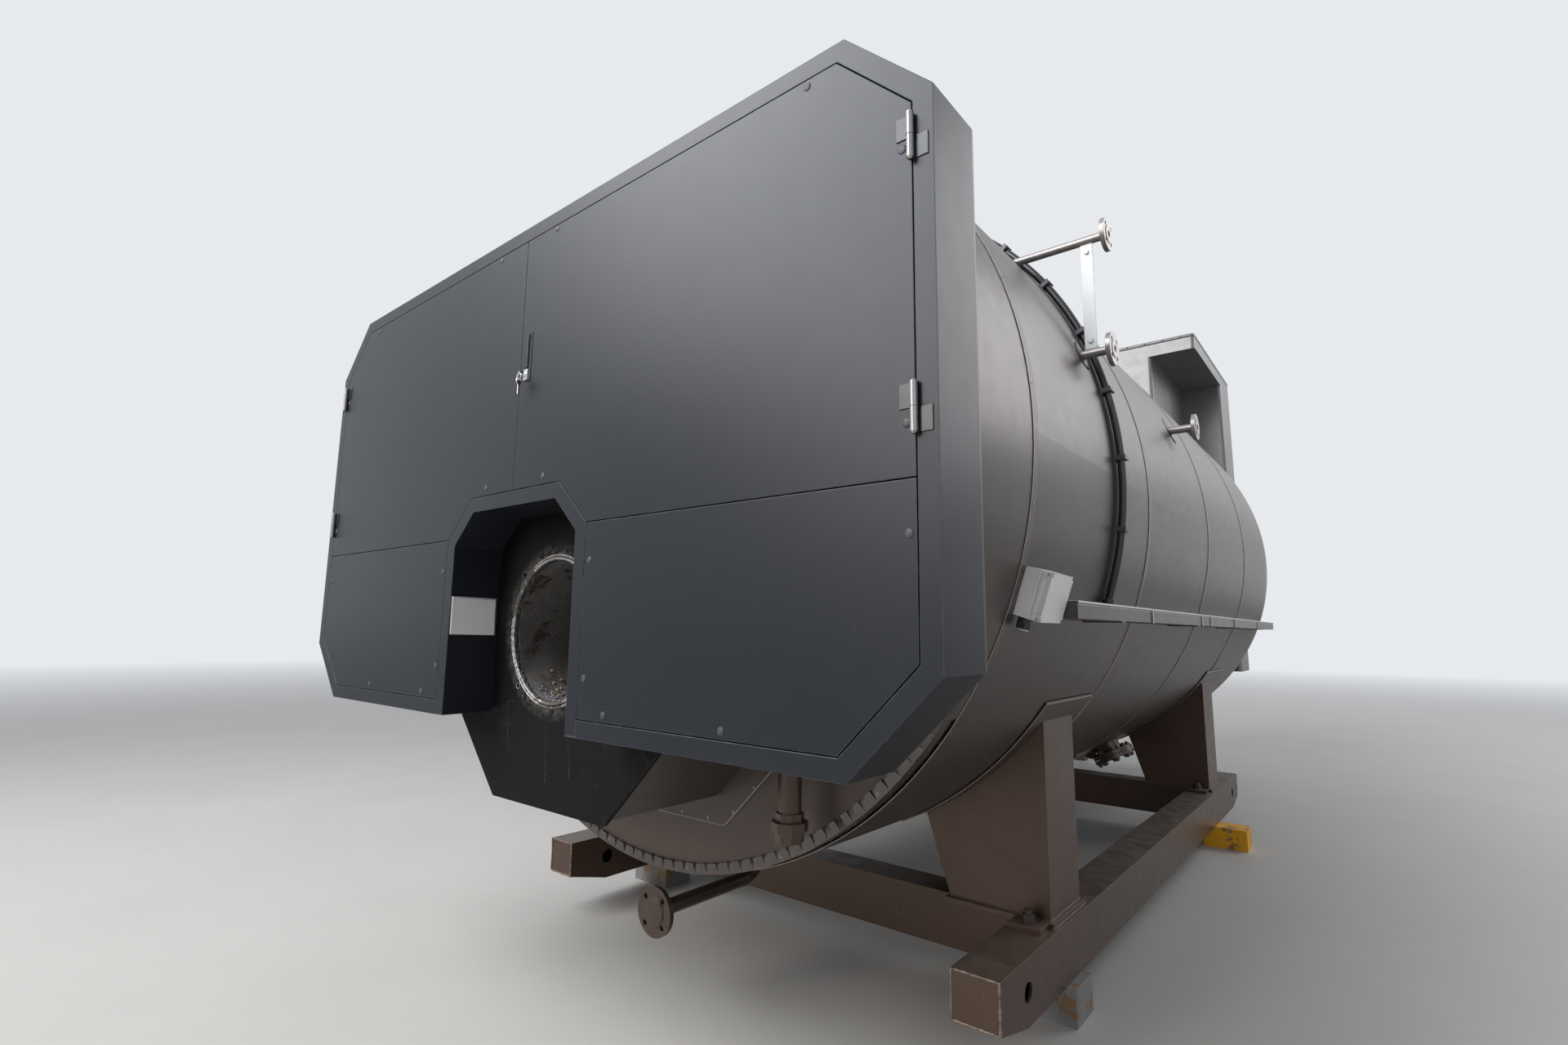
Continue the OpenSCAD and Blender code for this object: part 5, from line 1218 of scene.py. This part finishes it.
bm = bmesh.new()
rings = []
for grow, z in ((0.1, HEAD_TOP - LID_LAP), (LID_T, HEAD_TOP - LID_LAP),
                (LID_T, HEAD_TOP - 1.0), (0.1, HEAD_TOP - 0.2)):
    rings.append([bm.verts.new(shop(x, y, z)) for x, y in rounded_loop(grow)])
closed_skin(bm, rings)
make("economizer_lid_rim", bm, "economizer_sheet")
SCREW_Z, SCREW_IN, SIDE_STEPS, FRONT_STEPS = HEAD_TOP - 13.0, 90.0, 11, 12
rim_places = []
for step in range(SIDE_STEPS + 1):
    y = HEAD_Y0 + SCREW_IN + (HEAD_Y1 - HEAD_Y0 - 2 * SCREW_IN) * step / SIDE_STEPS
    for side in (-1, 1):
        rim_places.append((shop(side * (HEAD_HALF + LID_T), y, SCREW_Z), RIGHT * side))
for step in range(FRONT_STEPS + 1):
    x = (HEAD_HALF - SCREW_IN) * (2 * step / FRONT_STEPS - 1)
    rim_places.append((shop(x, HEAD_Y0 - LID_T, SCREW_Z), FRONT))
screws("lid_screws", rim_places, 10.0, 3.2)

# %% [markdown]
# The stage is a plain pale floor under plain soft light, so that only the object shows.
# One large soft light stands high in front to the left, and a smaller warm one, lower and
# further off, reaches under the casing. A weak one fills from the right, one stands behind,
# and the sky colour lights the rest evenly. The first two fan out less, so that the floor
# below them stays under white.
# %% Floor, lights and sky


def area_light(name, at, aim, size, power, spread_angle=180.0, color=(1.0, 1.0, 1.0)):
    """Square soft light that looks at a point, its fan of light given in degrees."""
    data = bpy.data.lights.new(name, "AREA")
    data.shape = "SQUARE"
    data.size = size
    data.spread = math.radians(spread_angle)
    data.energy = power
    data.color = color
    lamp = new_object(name, data)
    lamp.location = at
    lamp.rotation_euler = (Vector(aim) - Vector(at)).to_track_quat("-Z", "Y").to_euler()


FLOOR_HALF, FADE_FROM, FADE_TO = 40.0, 6.0, 26.0
floor_mesh = bpy.data.meshes.new("floor")
floor_mesh.from_pydata([(x * FLOOR_HALF, y * FLOOR_HALF, 0.0) for x, y in (
    (-1, -1), (1, -1), (1, 1), (-1, 1))], [], [(0, 1, 2, 3)])
floor = new_object("floor", floor_mesh)
BACKDROP = (0.80, 0.82, 0.85, 1.0)
tree = paint("floor", (0.52, 0.512, 0.498), 0.0, 0.60, 0.03, grain=60.0, grain_color=0.02,
             bump=0.02, dust=0.0).node_tree
far = vector_calc(tree, "LENGTH", add(tree, "ShaderNodeTexCoord").outputs["Object"])["Value"]
direct = add(tree, "ShaderNodeLightPath").outputs["Is Camera Ray"]
fade = product(tree, spread(tree, far, FADE_FROM, FADE_TO, 0.0, 1.0), direct)
even = add(tree, "ShaderNodeEmission", {"Color": BACKDROP, "Strength": 1.0})
both = add(tree, "ShaderNodeMixShader", {
    0: fade, 1: tree.nodes["Principled BSDF"].outputs[0], 2: even.outputs[0]})
tree.links.new(both.outputs[0], tree.nodes["Material Output"].inputs[0])
floor_mesh.materials.append(FINISH["floor"])

area_light("key", (-3.2, -9.0, 8.0), (0.4, -2.0, 1.6), 7.0, 640.0, 120.0)
area_light("low", (-3.8, -14.0, 4.8), (0.7, -2.5, 0.6), 3.2, 90.0, 90.0, (1.0, 0.90, 0.80))
area_light("fill", (7.0, -8.0, 4.0), (0.5, -1.0, 1.3), 5.0, 60.0)
area_light("rear", (6.0, 7.0, 7.0), (0.0, 1.0, 1.5), 6.0, 330.0)

world = bpy.data.worlds.new("sky")
bpy.context.scene.world = world
world.use_nodes = True
sky = world.node_tree
glow = sky.nodes["Background"]
glow.inputs["Color"].default_value = (0.84, 0.87, 0.92, 1.0)
glow.inputs["Strength"].default_value = 0.32
seen = add(sky, "ShaderNodeBackground", {"Color": BACKDROP, "Strength": 1.0})
rays = add(sky, "ShaderNodeLightPath").outputs
direct = calc(sky, "MAXIMUM", rays["Is Camera Ray"], rays["Is Glossy Ray"])
direct = calc(sky, "MAXIMUM", direct, rays["Is Transmission Ray"])
both = add(sky, "ShaderNodeMixShader", {0: direct, 1: glow.outputs[0], 2: seen.outputs[0]})
sky.links.new(both.outputs[0], sky.nodes["World Output"].inputs[0])
bpy.context.scene.view_settings.view_transform = "Standard"
